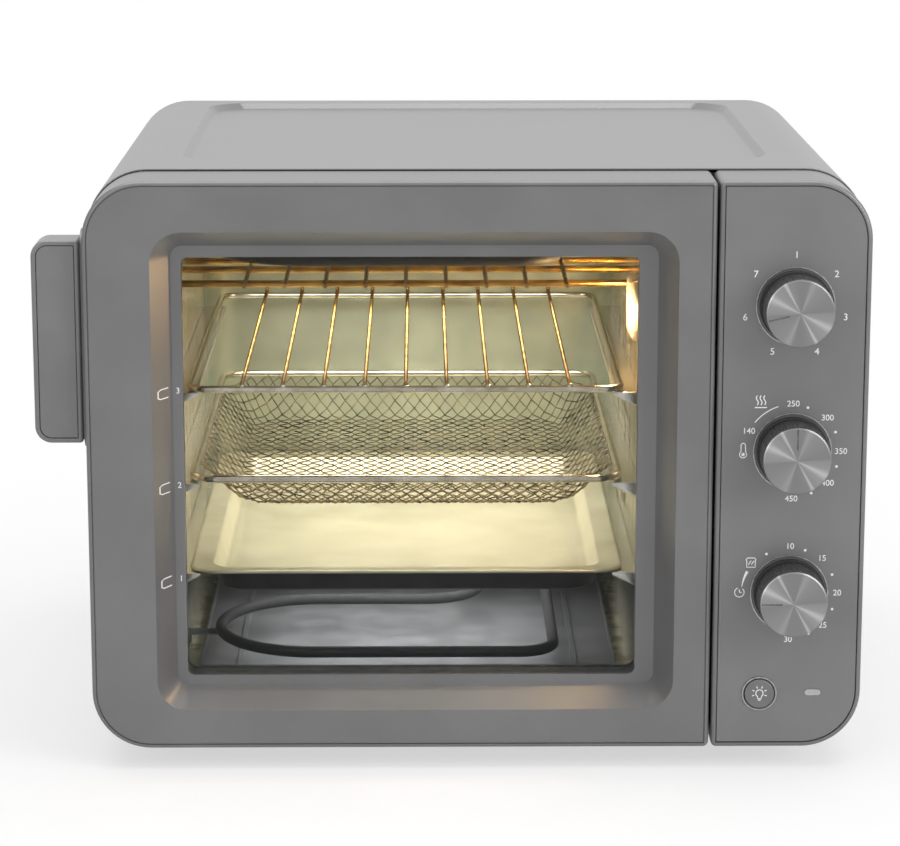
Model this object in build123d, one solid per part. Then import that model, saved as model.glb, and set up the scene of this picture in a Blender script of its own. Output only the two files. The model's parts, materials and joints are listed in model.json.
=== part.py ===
from build123d import *
import os
from math import cos, pi, sin

# Front of the oven. X runs to the right, Y runs back and Z runs up, in millimetres.
fascia_width = 420.0
fascia_height = 313.0
fascia_corner = 32.0
foot_height = 12.0
door_depth = 40.0
door_gap = 1.35
panel_width = 81.45
edge_round = 2.2
small_corner = 3.0
rim_width = 2.2
rim_groove = 0.6
rim_groove_depth = 1.2
bezel_set_back = 0.4

# Sheet-metal body behind the fascia.
front_plate_gap = 1.0
front_plate_sheet = 1.5
front_plate_inset = 1.5
body_length = 322.5
wrapper_overhang = 1.0
wrapper_sheet = 1.0
wrapper_return = 36.0
top_recess_half_width = 163.0
top_recess_front = 78.0
top_recess_back = 351.0
top_recess_depth = 3.3
top_recess_draft = 4.0
top_recess_corner = 25.0
rear_sheet = 1.5
rear_cover_depth = 12.0
rear_cover_draft = 6.0
rear_cover_corner = 20.0
vent_length = 30.0
vent_width = 3.0
vent_pitch = 9.0
vent_rows = 10

# Cooking space.
cavity_left_margin = 42.0
cavity_width = 259.0
cavity_floor_rise = 10.0
cavity_height = 263.0
cavity_depth = 313.5
cavity_back_corner = 20.0
cavity_sheet = 1.0
tray_side_gap = 8.3
tray_front_gap = 7.5
tray_back_gap = 6.0
rail_reach = 14.5
rail_height = 9.0
rail_lip = 2.0
rail_end_gap = 12.0
rail_levels = (75.0, 126.5, 178.0)
seat_gap = 0.3

# Air grille, fan and lamp on the right wall.
fan_y = 190.0
fan_z = 165.0
fan_radius = 68.0
fan_blades = 12
grille_hole = 4.2
grille_pitch = 11.5
grille_rings = 5
shroud_radius = 80.0
shroud_depth = 27.0
fan_shaft_radius = 3.0
running_gap = 0.05
motor_radius = 29.0
motor_length = 42.0
lamp_y = 82.0
lamp_z = 243.0
lamp_width = 44.0
lamp_height = 34.0

# Sheathed heaters and the wire guard under the upper one.
heater_radius = 3.25
heater_rise = 20.0
upper_heater_drop = 16.0
heater_front = 84.0
heater_inner_run = 197.0
heater_left_gap = 19.9
heater_right_gap = 44.9
heater_inner_gap = 86.0
heater_exit_front = 270.0
heater_exit_back = 310.0
guard_drop = 34.0
guard_bar_radius = 2.0
guard_wire_radius = 1.2
guard_bars_y = (112.0, 160.0, 190.0, 300.0)
wire_pitch = 22.6

# Racks and trays.
rack_rod_radius = 2.0
rack_wire_radius = 1.2
rack_wires = 9
rack_corner = 11.0
basket_rod_radius = 2.5
basket_depth = 22.0
basket_side_inset = 20.0
basket_end_inset = 30.0
basket_sheet = 1.2
net_pitch_x = 17.0
net_pitch_y = 14.0
net_bar = 2.2
pan_flange = 12.0
pan_depth = 15.0
pan_sheet = 1.0
pan_draft = 4.0
crumb_tray_rim = 6.0

# Door opening, window and hinge.
recess_left = 35.6
recess_right = 19.6
recess_bottom = 21.4
recess_top = 27.0
recess_corner = 17.0
slope_width = 10.0
slope_depth = 18.0
lip_sheet = 2.5
lip_corner = 6.0
lip_left = 5.5
lip_right = 10.2
lip_top = 6.2
lip_bottom = 5.2
window_corner = 4.0
door_wall = 2.4
glass_thickness = 4.0
glass_overlap = 5.0
liner_sheet = 1.5
gasket_width = 5.0
gasket_height = 0.7
hinge_inset = 4.5
hinge_pin_radius = 1.5
hinge_knuckle_radius = 2.5
hinge_arm_sheet = 3.0
hinge_arm_reach = 6.0
hinge_slot_gap = 0.5
hinge_tab_sheet = 0.6
hinge_tab_length = 16.0
hinge_tab_joint = 2.0
bush_radius = 3.2
bush_height = 2.4

# Handle on the free edge of the door.
handle_bottom = 170.0
handle_height = 110.5
handle_reach = 28.0
handle_foot = 2.0
handle_front = 8.0
handle_thickness = 21.0
handle_round = 5.0
handle_corner = 9.0
handle_face_rim = 2.6
handle_face_sheet = 1.6

# Controls. Heights are measured above the counter.
control_x = 169.6
knob_heights = (257.8, 178.3, 99.4)
knob_names = ("function", "temperature", "timer")
knob_pointers = (257.1, 0.0, 270.0)
knob_reach = 23.6
knob_base_radius = 19.4
knob_radius = 18.7
knob_base_length = 3.0
knob_knurls = 48
knob_knurl_depth = 0.5
knob_cap_radius = 18.3
knob_cap_sheet = 1.8
knob_groove_width = 1.3
knob_groove_depth = 0.7
knob_face_gap = 0.7
spindle_radius = 3.0
spindle_length = 26.0
bezel_ring_radius = 21.4
bezel_ring_width = 1.0
bezel_ring_height = 0.8
face_set_back = 0.4
face_sheet = 2.0
face_gap = 0.5
control_wall = 2.5
control_ledge = 5.5
switch_size = 34.0
switch_depth = 26.0
button_x = 154.6
button_z = 42.6
button_radius = 8.15
button_reach = 1.4
button_length = 10.0
button_travel = 2.5
button_ring_radius = 9.7
indicator_x = 183.8
indicator_z = 43.1
indicator_length = 9.0
indicator_height = 3.5

# Feet, gland and the rear edge.
foot_radius = 15.0
foot_inset_x = 54.0
foot_inset_front = 75.0
foot_inset_back = 30.0
gland_x = 150.0
gland_z = 45.0
gland_radius = 8.0
gland_bore = 4.0

# Places worked out from the sizes above.
fascia_left = -fascia_width / 2
fascia_right = fascia_width / 2
fascia_bottom = foot_height
fascia_top = foot_height + fascia_height
panel_left = fascia_right - panel_width
door_right = panel_left - door_gap
plate_front = door_depth + front_plate_gap
plate_back = plate_front + front_plate_sheet
body_back = plate_back + body_length
rear_back = body_back + rear_cover_depth
cavity_left = fascia_left + cavity_left_margin
cavity_right = cavity_left + cavity_width
cavity_centre = (cavity_left + cavity_right) / 2
cavity_bottom = fascia_bottom + cavity_floor_rise
cavity_top = cavity_bottom + cavity_height
cavity_back = plate_back + cavity_depth
tray_half = cavity_width / 2 - tray_side_gap
tray_front = plate_back + tray_front_gap
tray_back = cavity_back - tray_back_gap
rail_tops = [cavity_bottom + level for level in rail_levels]
compartment_left = cavity_right + cavity_sheet
hinge_x = door_right - hinge_inset
hinge_y = hinge_inset
window_left = fascia_left + recess_left + slope_width + lip_left
window_right = door_right - recess_right - slope_width - lip_right
window_bottom = fascia_bottom + recess_bottom + slope_width + lip_bottom
window_top = fascia_top - recess_top - slope_width - lip_top
glass_front = slope_depth + lip_sheet
liner_front = door_depth - liner_sheet
inner_glass_front = liner_front - glass_thickness
handle_left = fascia_left - handle_reach


def block(x0, x1, y0, y1, z0, z1):
    """Box between two opposite corners."""
    centre = Pos((x0 + x1) / 2, (y0 + y1) / 2, (z0 + z1) / 2)
    return centre * Box(x1 - x0, y1 - y0, z1 - z0)


def outline(x0, x1, z0, z1, left_radius, right_radius):
    """Flat outline seen from the front, with its own radius at each side."""
    shape = Pos((x0 + x1) / 2, (z0 + z1) / 2) * Rectangle(x1 - x0, z1 - z0)
    shape = fillet(shape.vertices().group_by(Axis.X)[0], left_radius)
    return fillet(shape.vertices().group_by(Axis.X)[-1], right_radius)


def slab(shape, y0, y1):
    """Outline in X and Z made solid from y0 back to y1."""
    face = Plane.XZ.offset(-y0) * shape
    return extrude(face, amount=y1 - y0, dir=(0, 1, 0))


def side_slab(shape, x0, x1):
    """Outline in Y and Z made solid from x0 to x1."""
    face = Plane.YZ.offset(x0) * shape
    return extrude(face, amount=x1 - x0, dir=(1, 0, 0))


def deck(shape, z0, z1):
    """Outline in X and Y made solid from z0 up to z1."""
    return extrude(Pos(0, 0, z0) * shape, amount=z1 - z0)


def rod(start, end, radius):
    """Round bar between two points."""
    run = Vector(*end) - Vector(*start)
    return extrude(Plane(origin=start, z_dir=run) * Circle(radius), amount=run.length)


def bent_rod(points, bends, radius):
    """Round bar along straight runs joined by bends."""
    path = FilletPolyline(*points, radius=bends)
    return sweep(Plane(origin=path @ 0, z_dir=path % 0) * Circle(radius), path=path)


def ring_rod(half_width, y0, y1, z, corner, radius):
    """Closed rectangular frame bent from round bar, centred on the cooking space."""
    centre = Pos(cavity_centre, (y0 + y1) / 2, z)
    path = (centre * RectangleRounded(2 * half_width, y1 - y0, corner)).face().outer_wire()
    return sweep(Plane(origin=path @ 0, z_dir=path % 0) * Circle(radius), path=path)


def door_outline(inset):
    return outline(
        fascia_left + inset,
        door_right - inset,
        fascia_bottom + inset,
        fascia_top - inset,
        fascia_corner - inset,
        max(small_corner - inset, 0.4),
    )


def panel_outline(inset):
    return outline(
        panel_left + inset,
        fascia_right - inset,
        fascia_bottom + inset,
        fascia_top - inset,
        max(small_corner - inset, 0.4),
        fascia_corner - inset,
    )


def body_outline(inset):
    radius = fascia_corner - inset
    return outline(
        fascia_left + inset,
        fascia_right - inset,
        fascia_bottom + inset,
        fascia_top - inset,
        radius,
        radius,
    )


def front_edges(part):
    """Outer edges that lie in the frontmost plane."""
    face = part.faces().sort_by(Axis.Y)[0]
    return face.outer_wire().edges()


def rim_line(outer):
    """Narrow groove just inside the edge of a front moulding, and the step behind it."""
    groove = slab(outer(rim_width) - outer(rim_width + rim_groove), -1, rim_groove_depth)
    step = slab(outer(rim_width + rim_groove), -1, bezel_set_back)
    return groove + step


def recess_solid(grow):
    """Sloped recess in the door front, grown outwards by a wall."""
    front = outline(
        fascia_left + recess_left - grow,
        door_right - recess_right + grow,
        fascia_bottom + recess_bottom - grow,
        fascia_top - recess_top + grow,
        recess_corner + grow,
        recess_corner + grow,
    )
    inset = slope_width
    back = outline(
        fascia_left + recess_left + inset - grow,
        door_right - recess_right - inset + grow,
        fascia_bottom + recess_bottom + inset - grow,
        fascia_top - recess_top - inset + grow,
        lip_corner + grow,
        lip_corner + grow,
    )
    return loft(
        [
            (Plane.XZ * front).face(),
            (Plane.XZ.offset(-slope_depth) * back).face(),
        ],
        ruled=True,
    )


def window_outline(grow):
    radius = window_corner + max(grow, 0)
    return outline(
        window_left - grow,
        window_right + grow,
        window_bottom - grow,
        window_top + grow,
        radius,
        radius,
    )


def hinge_slot(z0, z1):
    """Room that a hinge arm sweeps inside the door."""
    gap = hinge_slot_gap
    knuckle = Pos(hinge_x, hinge_y) * Circle(hinge_knuckle_radius + gap)
    left = hinge_x - hinge_arm_reach - gap
    back = Pos((left + door_right + 1) / 2, (hinge_y + door_depth + 1) / 2)
    sweep_room = back * Rectangle(door_right + 1 - left, door_depth + 1 - hinge_y)
    side_front = hinge_y - hinge_inset / 2
    side = Pos((hinge_x + door_right + 1) / 2, (side_front + hinge_y + 1) / 2)
    side_room = side * Rectangle(door_right + 1 - hinge_x, hinge_y + 1 - side_front)
    return deck(knuckle + sweep_room + side_room, z0, z1)


def hinge_levels():
    """Height of the underside of the lower arm and of the upper arm."""
    wall = door_wall + bush_height + hinge_slot_gap
    lower = fascia_bottom + wall
    upper = fascia_top - wall - hinge_arm_sheet
    return lower, upper


def make_door_frame():
    frame = slab(door_outline(0), 0, door_depth)
    frame = fillet(front_edges(frame), edge_round)
    frame -= slab(door_outline(door_wall), bezel_set_back + door_wall, door_depth + 1)
    frame += recess_solid(door_wall) & slab(door_outline(0), bezel_set_back + 1, slope_depth)
    frame += slab(window_outline(lip_right + door_wall), slope_depth, glass_front)
    frame -= recess_solid(0)
    frame -= slab(window_outline(0), 0, door_depth)
    frame -= rim_line(door_outline)
    for level in hinge_levels():
        frame -= hinge_slot(level - hinge_slot_gap, level + hinge_arm_sheet + hinge_slot_gap)
    lower, upper = hinge_levels()
    boss = Pos(hinge_x, hinge_y) * Circle(bush_radius + 1)
    room = slab(door_outline(door_wall / 2), bezel_set_back + 1, door_depth)
    lower_boss = deck(boss, fascia_bottom + 1, lower - hinge_slot_gap)
    upper_boss = deck(boss, upper + hinge_arm_sheet + hinge_slot_gap, fascia_top - 1)
    frame += (lower_boss + upper_boss) & room
    bore = Pos(hinge_x, hinge_y) * Circle(bush_radius)
    frame -= deck(bore, lower - hinge_slot_gap - bush_height, lower)
    top = upper + hinge_arm_sheet
    frame -= deck(bore, top, top + hinge_slot_gap + bush_height)
    return frame


def make_hinge_bushes():
    bush = Pos(hinge_x, hinge_y) * (Circle(bush_radius) - Circle(hinge_pin_radius + running_gap))
    lower, upper = hinge_levels()
    low = deck(bush, lower - hinge_slot_gap - bush_height, lower - hinge_slot_gap)
    start = upper + hinge_arm_sheet + hinge_slot_gap
    return [low, deck(bush, start, start + bush_height)]


def make_hinge_brackets():
    lower, upper = hinge_levels()
    knuckle = Pos(hinge_x, hinge_y) * Circle(hinge_knuckle_radius)
    left = hinge_x - hinge_arm_reach
    right = hinge_x + 0.5
    centre = Pos((left + right) / 2, (hinge_y + plate_front) / 2)
    arm = knuckle + centre * Rectangle(right - left, plate_front - hinge_y)
    nose = Pos(left, hinge_y) * Rectangle(2 * hinge_knuckle_radius, 2 * hinge_knuckle_radius)
    arm -= nose
    pin = Pos(hinge_x, hinge_y) * Circle(hinge_pin_radius)
    pin_length = hinge_slot_gap + bush_height - 0.3
    brackets = []
    for level, upward in ((lower, False), (upper, True)):
        bracket = deck(arm, level, level + hinge_arm_sheet)
        if upward:
            top = level + hinge_arm_sheet
            bracket += deck(pin, level, top + pin_length)
        else:
            bracket += deck(pin, level - pin_length, level + hinge_arm_sheet)
        tab_right = left + hinge_tab_joint
        bracket += block(
            tab_right - hinge_tab_length,
            tab_right,
            plate_front - hinge_tab_sheet,
            plate_front,
            level - hinge_arm_sheet,
            level + 2 * hinge_arm_sheet,
        )
        brackets.append(bracket)
    return brackets


def make_door_liner():
    liner = slab(door_outline(door_wall + 0.1), liner_front, door_depth)
    liner -= slab(window_outline(1.0), liner_front - 1, door_depth + 1)
    for level in hinge_levels():
        liner -= hinge_slot(level - hinge_slot_gap, level + hinge_arm_sheet + hinge_slot_gap)
        liner -= hinge_slot(level - 4, level + hinge_arm_sheet + 4)
    return liner


def make_glass_spacer():
    ring = window_outline(glass_overlap) - window_outline(1.0)
    return slab(ring, glass_front + glass_thickness, inner_glass_front)


def make_door_gasket():
    grow = 2.0
    bounds = (cavity_left - grow, cavity_right + grow, cavity_bottom - grow, cavity_top + grow)
    inner = outline(*bounds, 8.0, 8.0)
    x0, x1, z0, z1 = bounds
    w = gasket_width
    outer = outline(x0 - w, x1 + w, z0 - w, z1 + w, 8.0 + w, 8.0 + w)
    return slab(outer - inner, door_depth, door_depth + gasket_height)


def make_handle():
    z0 = foot_height + handle_bottom
    z1 = z0 + handle_height
    right = fascia_left - handle_foot
    y0 = handle_front
    grip = slab(outline(handle_left, right, z0, z1, handle_corner, 2.0), y0, y0 + handle_thickness)
    grip = fillet(grip.faces().sort_by(Axis.Y)[-1].edges(), 1.5)
    grip = fillet(front_edges(grip), 1.5)
    rim = handle_face_rim
    seat = outline(
        handle_left + rim, right - rim, z0 + rim, z1 - rim, handle_corner - rim, 1.0
    )
    grip -= slab(seat, y0 - 1, y0 + handle_face_sheet)
    foot = side_slab(
        Pos(y0 + handle_thickness / 2 + 3, (z0 + z1) / 2)
        * SlotOverall(handle_height + 9, handle_thickness + 1, rotation=90),
        right,
        fascia_left,
    )
    return grip + foot


def make_handle_face():
    z0 = foot_height + handle_bottom
    z1 = z0 + handle_height
    rim = handle_face_rim + 0.4
    right = fascia_left - handle_foot
    shape = outline(
        handle_left + rim, right - rim, z0 + rim, z1 - rim, handle_corner - rim, 0.8
    )
    return slab(shape, handle_front + 0.3, handle_front + handle_face_sheet)


def make_control_housing():
    housing = slab(panel_outline(0), 0, plate_front)
    housing = fillet(front_edges(housing), edge_round)
    wall = control_wall
    ledge = face_set_back + face_sheet
    housing -= slab(panel_outline(wall), -1, ledge)
    housing -= slab(panel_outline(wall + control_ledge), 0, ledge + 3)
    housing -= slab(panel_outline(wall), ledge + 2, plate_front + 1)
    return housing


def make_control_face():
    ledge = face_set_back + face_sheet
    face = slab(panel_outline(control_wall + face_gap), face_set_back, ledge)
    for height in knob_heights:
        face -= slab(Pos(control_x, height) * Circle(spindle_radius + 2), 0, ledge)
    face -= slab(Pos(button_x, button_z) * Circle(button_radius + 0.3), 0, ledge)
    pill = SlotOverall(indicator_length + 0.2, indicator_height + 0.2)
    face -= slab(Pos(indicator_x, indicator_z) * pill, 0, ledge)
    return face


def make_bezel_rings():
    rings = []
    places = [(control_x, height, bezel_ring_radius) for height in knob_heights]
    places.append((button_x, button_z, button_ring_radius))
    for x, z, radius in places:
        ring = Pos(x, z) * (Circle(radius) - Circle(radius - bezel_ring_width))
        rings.append(slab(ring, face_set_back - bezel_ring_height, face_set_back))
    return rings


def make_knob(height):
    """Knurled knob without its face, bored for the spindle."""
    base = face_set_back - knob_face_gap
    seat = -knob_reach + knob_cap_sheet
    teeth = []
    for step in range(2 * knob_knurls):
        radius = knob_radius if step % 2 == 0 else knob_radius - knob_knurl_depth
        angle = pi * step / knob_knurls
        teeth.append((radius * cos(angle), radius * sin(angle)))
    knurl = Pos(control_x, height) * Polygon(*teeth, align=None)
    collar = Pos(control_x, height) * Circle(knob_base_radius)
    knob = slab(knurl, seat, base) + slab(collar, base - knob_base_length, base)
    bore = Pos(control_x, height) * Circle(spindle_radius)
    return knob - slab(bore, base - 12, base + 1)


def make_knob_cap(height, pointer):
    """Turned aluminium face with the pointer groove."""
    centre = Pos(control_x, height)
    front = -knob_reach
    cap = slab(centre * Circle(knob_cap_radius), front, front + knob_cap_sheet)
    cap = chamfer(cap.edges().filter_by(GeomType.CIRCLE).sort_by(Axis.Y)[0], 0.8)
    length = knob_cap_radius * 0.62
    groove = Pos(0, knob_cap_radius - length / 2) * Rectangle(knob_groove_width, length + 1)
    groove = centre * Rot(0, 0, -pointer) * groove
    return cap - slab(groove, front - 1, front + knob_groove_depth)


def make_spindle(height):
    base = face_set_back - knob_face_gap
    return slab(Pos(control_x, height) * Circle(spindle_radius), base - 12, base - 12 + spindle_length)


def make_switch(height):
    """Rotary switch body behind the control face, bored for its spindle."""
    front = face_set_back + face_sheet
    half = switch_size / 2
    body = block(control_x - half, control_x + half, front, front + switch_depth, height - half, height + half)
    body = chamfer(body.edges().filter_by(Axis.Y), 5)
    bore = Pos(control_x, height) * Circle(spindle_radius + running_gap)
    return body - slab(bore, front - 1, front + 14)


def make_lamp_switch():
    front = face_set_back + face_sheet
    half = button_radius + 3
    body = block(button_x - half, button_x + half, front, front + 20, button_z - half, button_z + half)
    depth = button_length + button_travel + 1 - button_reach
    return body - slab(Pos(button_x, button_z) * Circle(button_radius + 0.3), front - 1, depth)


def make_button():
    front = face_set_back - button_reach
    button = slab(Pos(button_x, button_z) * Circle(button_radius), front, front + button_length)
    return fillet(button.edges().sort_by(Axis.Y)[0], 0.8)


def make_indicator():
    ledge = face_set_back + face_sheet
    centre = Pos(indicator_x, indicator_z)
    lens = slab(centre * SlotOverall(indicator_length, indicator_height), face_set_back - 0.3, ledge)
    return lens + slab(centre * SlotOverall(indicator_length + 4, indicator_height + 4), ledge, ledge + 5)


def make_front_plate():
    plate = slab(body_outline(front_plate_inset), plate_front, plate_back)
    mouth = outline(cavity_left, cavity_right, cavity_bottom, cavity_top, 2.0, 2.0)
    plate -= slab(mouth, plate_front - 1, plate_back + 1)
    wiring = outline(
        panel_left + 14, fascia_right - 14, fascia_bottom + 20, fascia_top - 20, 6.0, 6.0
    )
    return plate - slab(wiring, plate_front - 1, plate_back + 1)


def make_wrapper():
    outer = body_outline(-wrapper_overhang)
    inner = body_outline(wrapper_sheet - wrapper_overhang)
    wrapper = slab(outer - inner, plate_back, body_back)
    slot = fascia_width / 2 - wrapper_return
    wrapper -= block(-slot, slot, plate_back - 1, body_back + 1, fascia_bottom - 5, fascia_bottom + 5)
    top = fascia_top + wrapper_overhang
    middle = (top_recess_front + top_recess_back) / 2
    length = top_recess_back - top_recess_front
    half = top_recess_half_width
    under = top - top_recess_depth

    def recess(grow, z0, z1):
        low = Pos(0, middle, z0) * RectangleRounded(
            2 * (half - top_recess_draft + grow), length - 2 * (top_recess_draft - grow), top_recess_corner
        )
        high = Pos(0, middle, z1) * RectangleRounded(
            2 * (half + grow), length + 2 * grow, top_recess_corner
        )
        return loft([low.face(), high.face()], ruled=True)

    wrapper += recess(wrapper_sheet, under - wrapper_sheet, top)
    wrapper -= recess(0, under, top)
    vents = GridLocations(1, vent_pitch, 1, vent_rows)
    for place in vents:
        slot_face = Pos(body_back - 50, (fascia_bottom + fascia_top) / 2) * place
        slot_face *= Rectangle(vent_length, vent_width)
        wrapper -= side_slab(slot_face, fascia_right - 2, fascia_right + 2)
    return wrapper


def make_bottom_plate():
    half = fascia_width / 2 - wrapper_return + 4
    return block(-half, half, plate_back, body_back - rear_sheet, fascia_bottom, fascia_bottom + 1)


def make_rear_panel():
    panel = slab(body_outline(0.3), body_back - rear_sheet, body_back)
    for side in (-1, 1):
        for row in range(vent_rows):
            x = (compartment_left + fascia_right) / 2 + side * (vent_length / 2 + 5)
            z = fascia_top - 50 - row * vent_pitch
            slot = Pos(x, z) * Rectangle(vent_length, vent_width)
            panel -= slab(slot, body_back - rear_sheet - 1, body_back + 1)
    bore = Pos(gland_x, gland_z) * Circle(gland_radius - 2)
    return panel - slab(bore, body_back - rear_sheet - 1, body_back + 1)


def rear_cover_solid(inset, y0, y1):
    """Tapered pan shape of the rear cover."""
    x0 = cavity_left + inset
    x1 = cavity_right - inset
    z0 = cavity_bottom + 10 + inset
    z1 = cavity_top - 5 - inset
    draft = rear_cover_draft
    radius = rear_cover_corner
    front = outline(x0, x1, z0, z1, radius, radius)
    back = outline(x0 + draft, x1 - draft, z0 + draft, z1 - draft, radius, radius)
    return loft(
        [(Plane.XZ.offset(-y0) * front).face(), (Plane.XZ.offset(-y1) * back).face()],
        ruled=True,
    )


def make_rear_cover():
    cover = rear_cover_solid(0, body_back, rear_back)
    return cover - rear_cover_solid(rear_sheet, body_back, rear_back - rear_sheet)


def make_gland():
    ring = Pos(gland_x, gland_z) * (Circle(gland_radius) - Circle(gland_bore))
    neck = Pos(gland_x, gland_z) * (Circle(gland_radius - 2.1) - Circle(gland_bore))
    gland = slab(ring, body_back, body_back + 7)
    return gland + slab(neck, body_back - rear_sheet - 4, body_back)


def make_side_wall(inner_face, outer_face):
    return block(inner_face, outer_face, plate_back, cavity_back - cavity_back_corner, cavity_bottom, cavity_top)


def make_right_wall():
    wall = make_side_wall(cavity_right, compartment_left)
    holes = [Pos(fan_y, fan_z)]
    for ring in range(1, grille_rings + 1):
        for step in range(6 * ring):
            angle = 2 * pi * step / (6 * ring)
            reach = ring * grille_pitch
            holes.append(Pos(fan_y + reach * cos(angle), fan_z + reach * sin(angle)))
    hexagon = RegularPolygon(grille_hole, 6)
    wall -= [side_slab(hole * hexagon, cavity_right - 1, compartment_left + 1) for hole in holes]
    window = Pos(lamp_y, lamp_z) * RectangleRounded(lamp_width - 8, lamp_height - 8, 5)
    wall -= side_slab(window, cavity_right - 1, compartment_left + 1)
    for name in ("lower", "upper"):
        for y in (heater_exit_front, heater_exit_back):
            place = Pos(y, heater_level(name))
            hole = side_slab(place * Circle(heater_radius + 0.1), cavity_right - 1, compartment_left + 1)
            wall -= hole
    return wall


def make_cavity_back():
    radius = cavity_back_corner
    outer_radius = radius + cavity_sheet
    start = cavity_back - radius

    def trough(grow, reach):
        x0 = cavity_left - grow
        x1 = cavity_right + grow
        y1 = cavity_back + grow
        shape = Pos((x0 + x1) / 2, (start + y1) / 2) * Rectangle(x1 - x0, y1 - start)
        return fillet(shape.vertices().group_by(Axis.Y)[-1], reach)

    profile = trough(cavity_sheet, outer_radius) - trough(0, radius - 0.01)
    return deck(profile, cavity_bottom, cavity_top)


def make_deck_plate(z0, z1):
    return block(
        cavity_left - cavity_sheet,
        compartment_left,
        plate_back,
        cavity_back + cavity_sheet,
        z0,
        z1,
    )


def make_rails():
    """Three pressed ledges on each side wall."""
    rails = []
    y0 = plate_back + rail_end_gap
    y1 = cavity_back - cavity_back_corner - rail_end_gap
    for wall, inward in ((cavity_left, 1), (cavity_right, -1)):
        for top in rail_tops:
            tip = wall + inward * rail_reach
            profile = Polygon(
                (wall, top),
                (tip, top),
                (tip, top - rail_lip),
                (wall, top - rail_height),
                align=None,
            )
            rails.append(slab(profile, y0, y1))
    return rails


def heater_level(name):
    if name == "lower":
        return cavity_bottom + heater_rise
    return cavity_top - upper_heater_drop


def make_heater(name):
    """One sheathed rod bent into a loop, with both ends through the right wall."""
    z = heater_level(name)
    left = cavity_left + heater_left_gap
    right = cavity_right - heater_right_gap
    inner = cavity_right - heater_inner_gap
    out = compartment_left + 8
    points = [
        (out, heater_exit_front, z),
        (right, heater_exit_front, z),
        (right, heater_front, z),
        (left, heater_front, z),
        (left, heater_inner_run, z),
        (inner, heater_inner_run, z),
        (inner, heater_exit_back, z),
        (out, heater_exit_back, z),
    ]
    wide = (heater_inner_run - heater_front) / 2 - 0.2
    return bent_rod(points, [20, 20, wide, wide, 31.5, 20], heater_radius)


def make_heater_terminals():
    terminals = []
    for name in ("lower", "upper"):
        for y in (heater_exit_front, heater_exit_back):
            place = Pos(y, heater_level(name))
            sleeve = side_slab(place * (Circle(7) - Circle(heater_radius + 0.05)), compartment_left, compartment_left + 6)
            terminals.append(sleeve + side_slab(place * Circle(5), compartment_left + 8, compartment_left + 16))
    return terminals


def make_heater_clips():
    """Small brackets from the left wall under and over the heater bends."""
    clips = []
    y = (heater_front + heater_inner_run) / 2
    reach = cavity_left + heater_left_gap + heater_radius + 3
    for name in ("lower", "upper"):
        z = heater_level(name) - heater_radius
        clip = block(cavity_left, reach, y - 5, y + 5, z - 1.3, z - 0.3 + 0.1)
        clip += block(cavity_left, cavity_left + 1, y - 5, y + 5, z - 9, z)
        clips.append(clip)
    return clips


def make_heater_guard():
    z = cavity_top - guard_drop
    guard = None
    for y in guard_bars_y:
        bar = rod((cavity_left, y, z), (cavity_right, y, z), guard_bar_radius)
        guard = bar if guard is None else guard + bar
    top = z + guard_bar_radius + guard_wire_radius - 0.4
    for step in range(-4, 5):
        x = cavity_centre + step * wire_pitch
        start = guard_bars_y[0] - 25
        guard += rod((x, start, top), (x, guard_bars_y[-1] + 20, top), guard_wire_radius)
    return guard


def make_wire_rack():
    z = rail_tops[2] + seat_gap + rack_rod_radius
    half = tray_half - rack_rod_radius
    y0 = tray_front + rack_rod_radius
    y1 = tray_back - rack_rod_radius
    rack = ring_rod(half, y0, y1, z, rack_corner, rack_rod_radius)
    middle = (y0 + y1) / 2
    left = cavity_centre - half
    right = cavity_centre + half
    rack += rod((left, middle, z), (right, middle, z), rack_rod_radius)
    top = z + rack_rod_radius + rack_wire_radius - 0.5
    for step in range(rack_wires):
        x = cavity_centre + (step - (rack_wires - 1) / 2) * wire_pitch
        rack += rod((x, y0, top), (x, y1, top), rack_wire_radius)
    return rack


def basket_level():
    return rail_tops[1] + seat_gap + basket_rod_radius


def basket_shell(grow, z0, z1):
    """Tapered tub of the basket, from its floor up to the rim."""
    y0 = tray_front + 2 * basket_rod_radius
    y1 = tray_back - 2 * basket_rod_radius
    half = tray_half - 2 * basket_rod_radius
    middle = Pos(cavity_centre, (y0 + y1) / 2)
    high = Pos(0, 0, z1) * middle * RectangleRounded(2 * half + 2 * grow, y1 - y0 + 2 * grow, 12 + grow)
    side = basket_side_inset
    end = basket_end_inset
    low = Pos(0, 0, z0) * middle * RectangleRounded(
        2 * (half - side + grow), y1 - y0 - 2 * end + 2 * grow, 22 + grow
    )
    return loft([low.face(), high.face()], ruled=True)


def make_basket_rim():
    half = tray_half - basket_rod_radius
    y0 = tray_front + basket_rod_radius
    y1 = tray_back - basket_rod_radius
    return ring_rod(half, y0, y1, basket_level(), 14, basket_rod_radius)


def make_basket_walls():
    top = basket_level()
    under = top - basket_depth
    walls = basket_shell(0, under, top) - basket_shell(-basket_sheet, under, top)
    return walls


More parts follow.
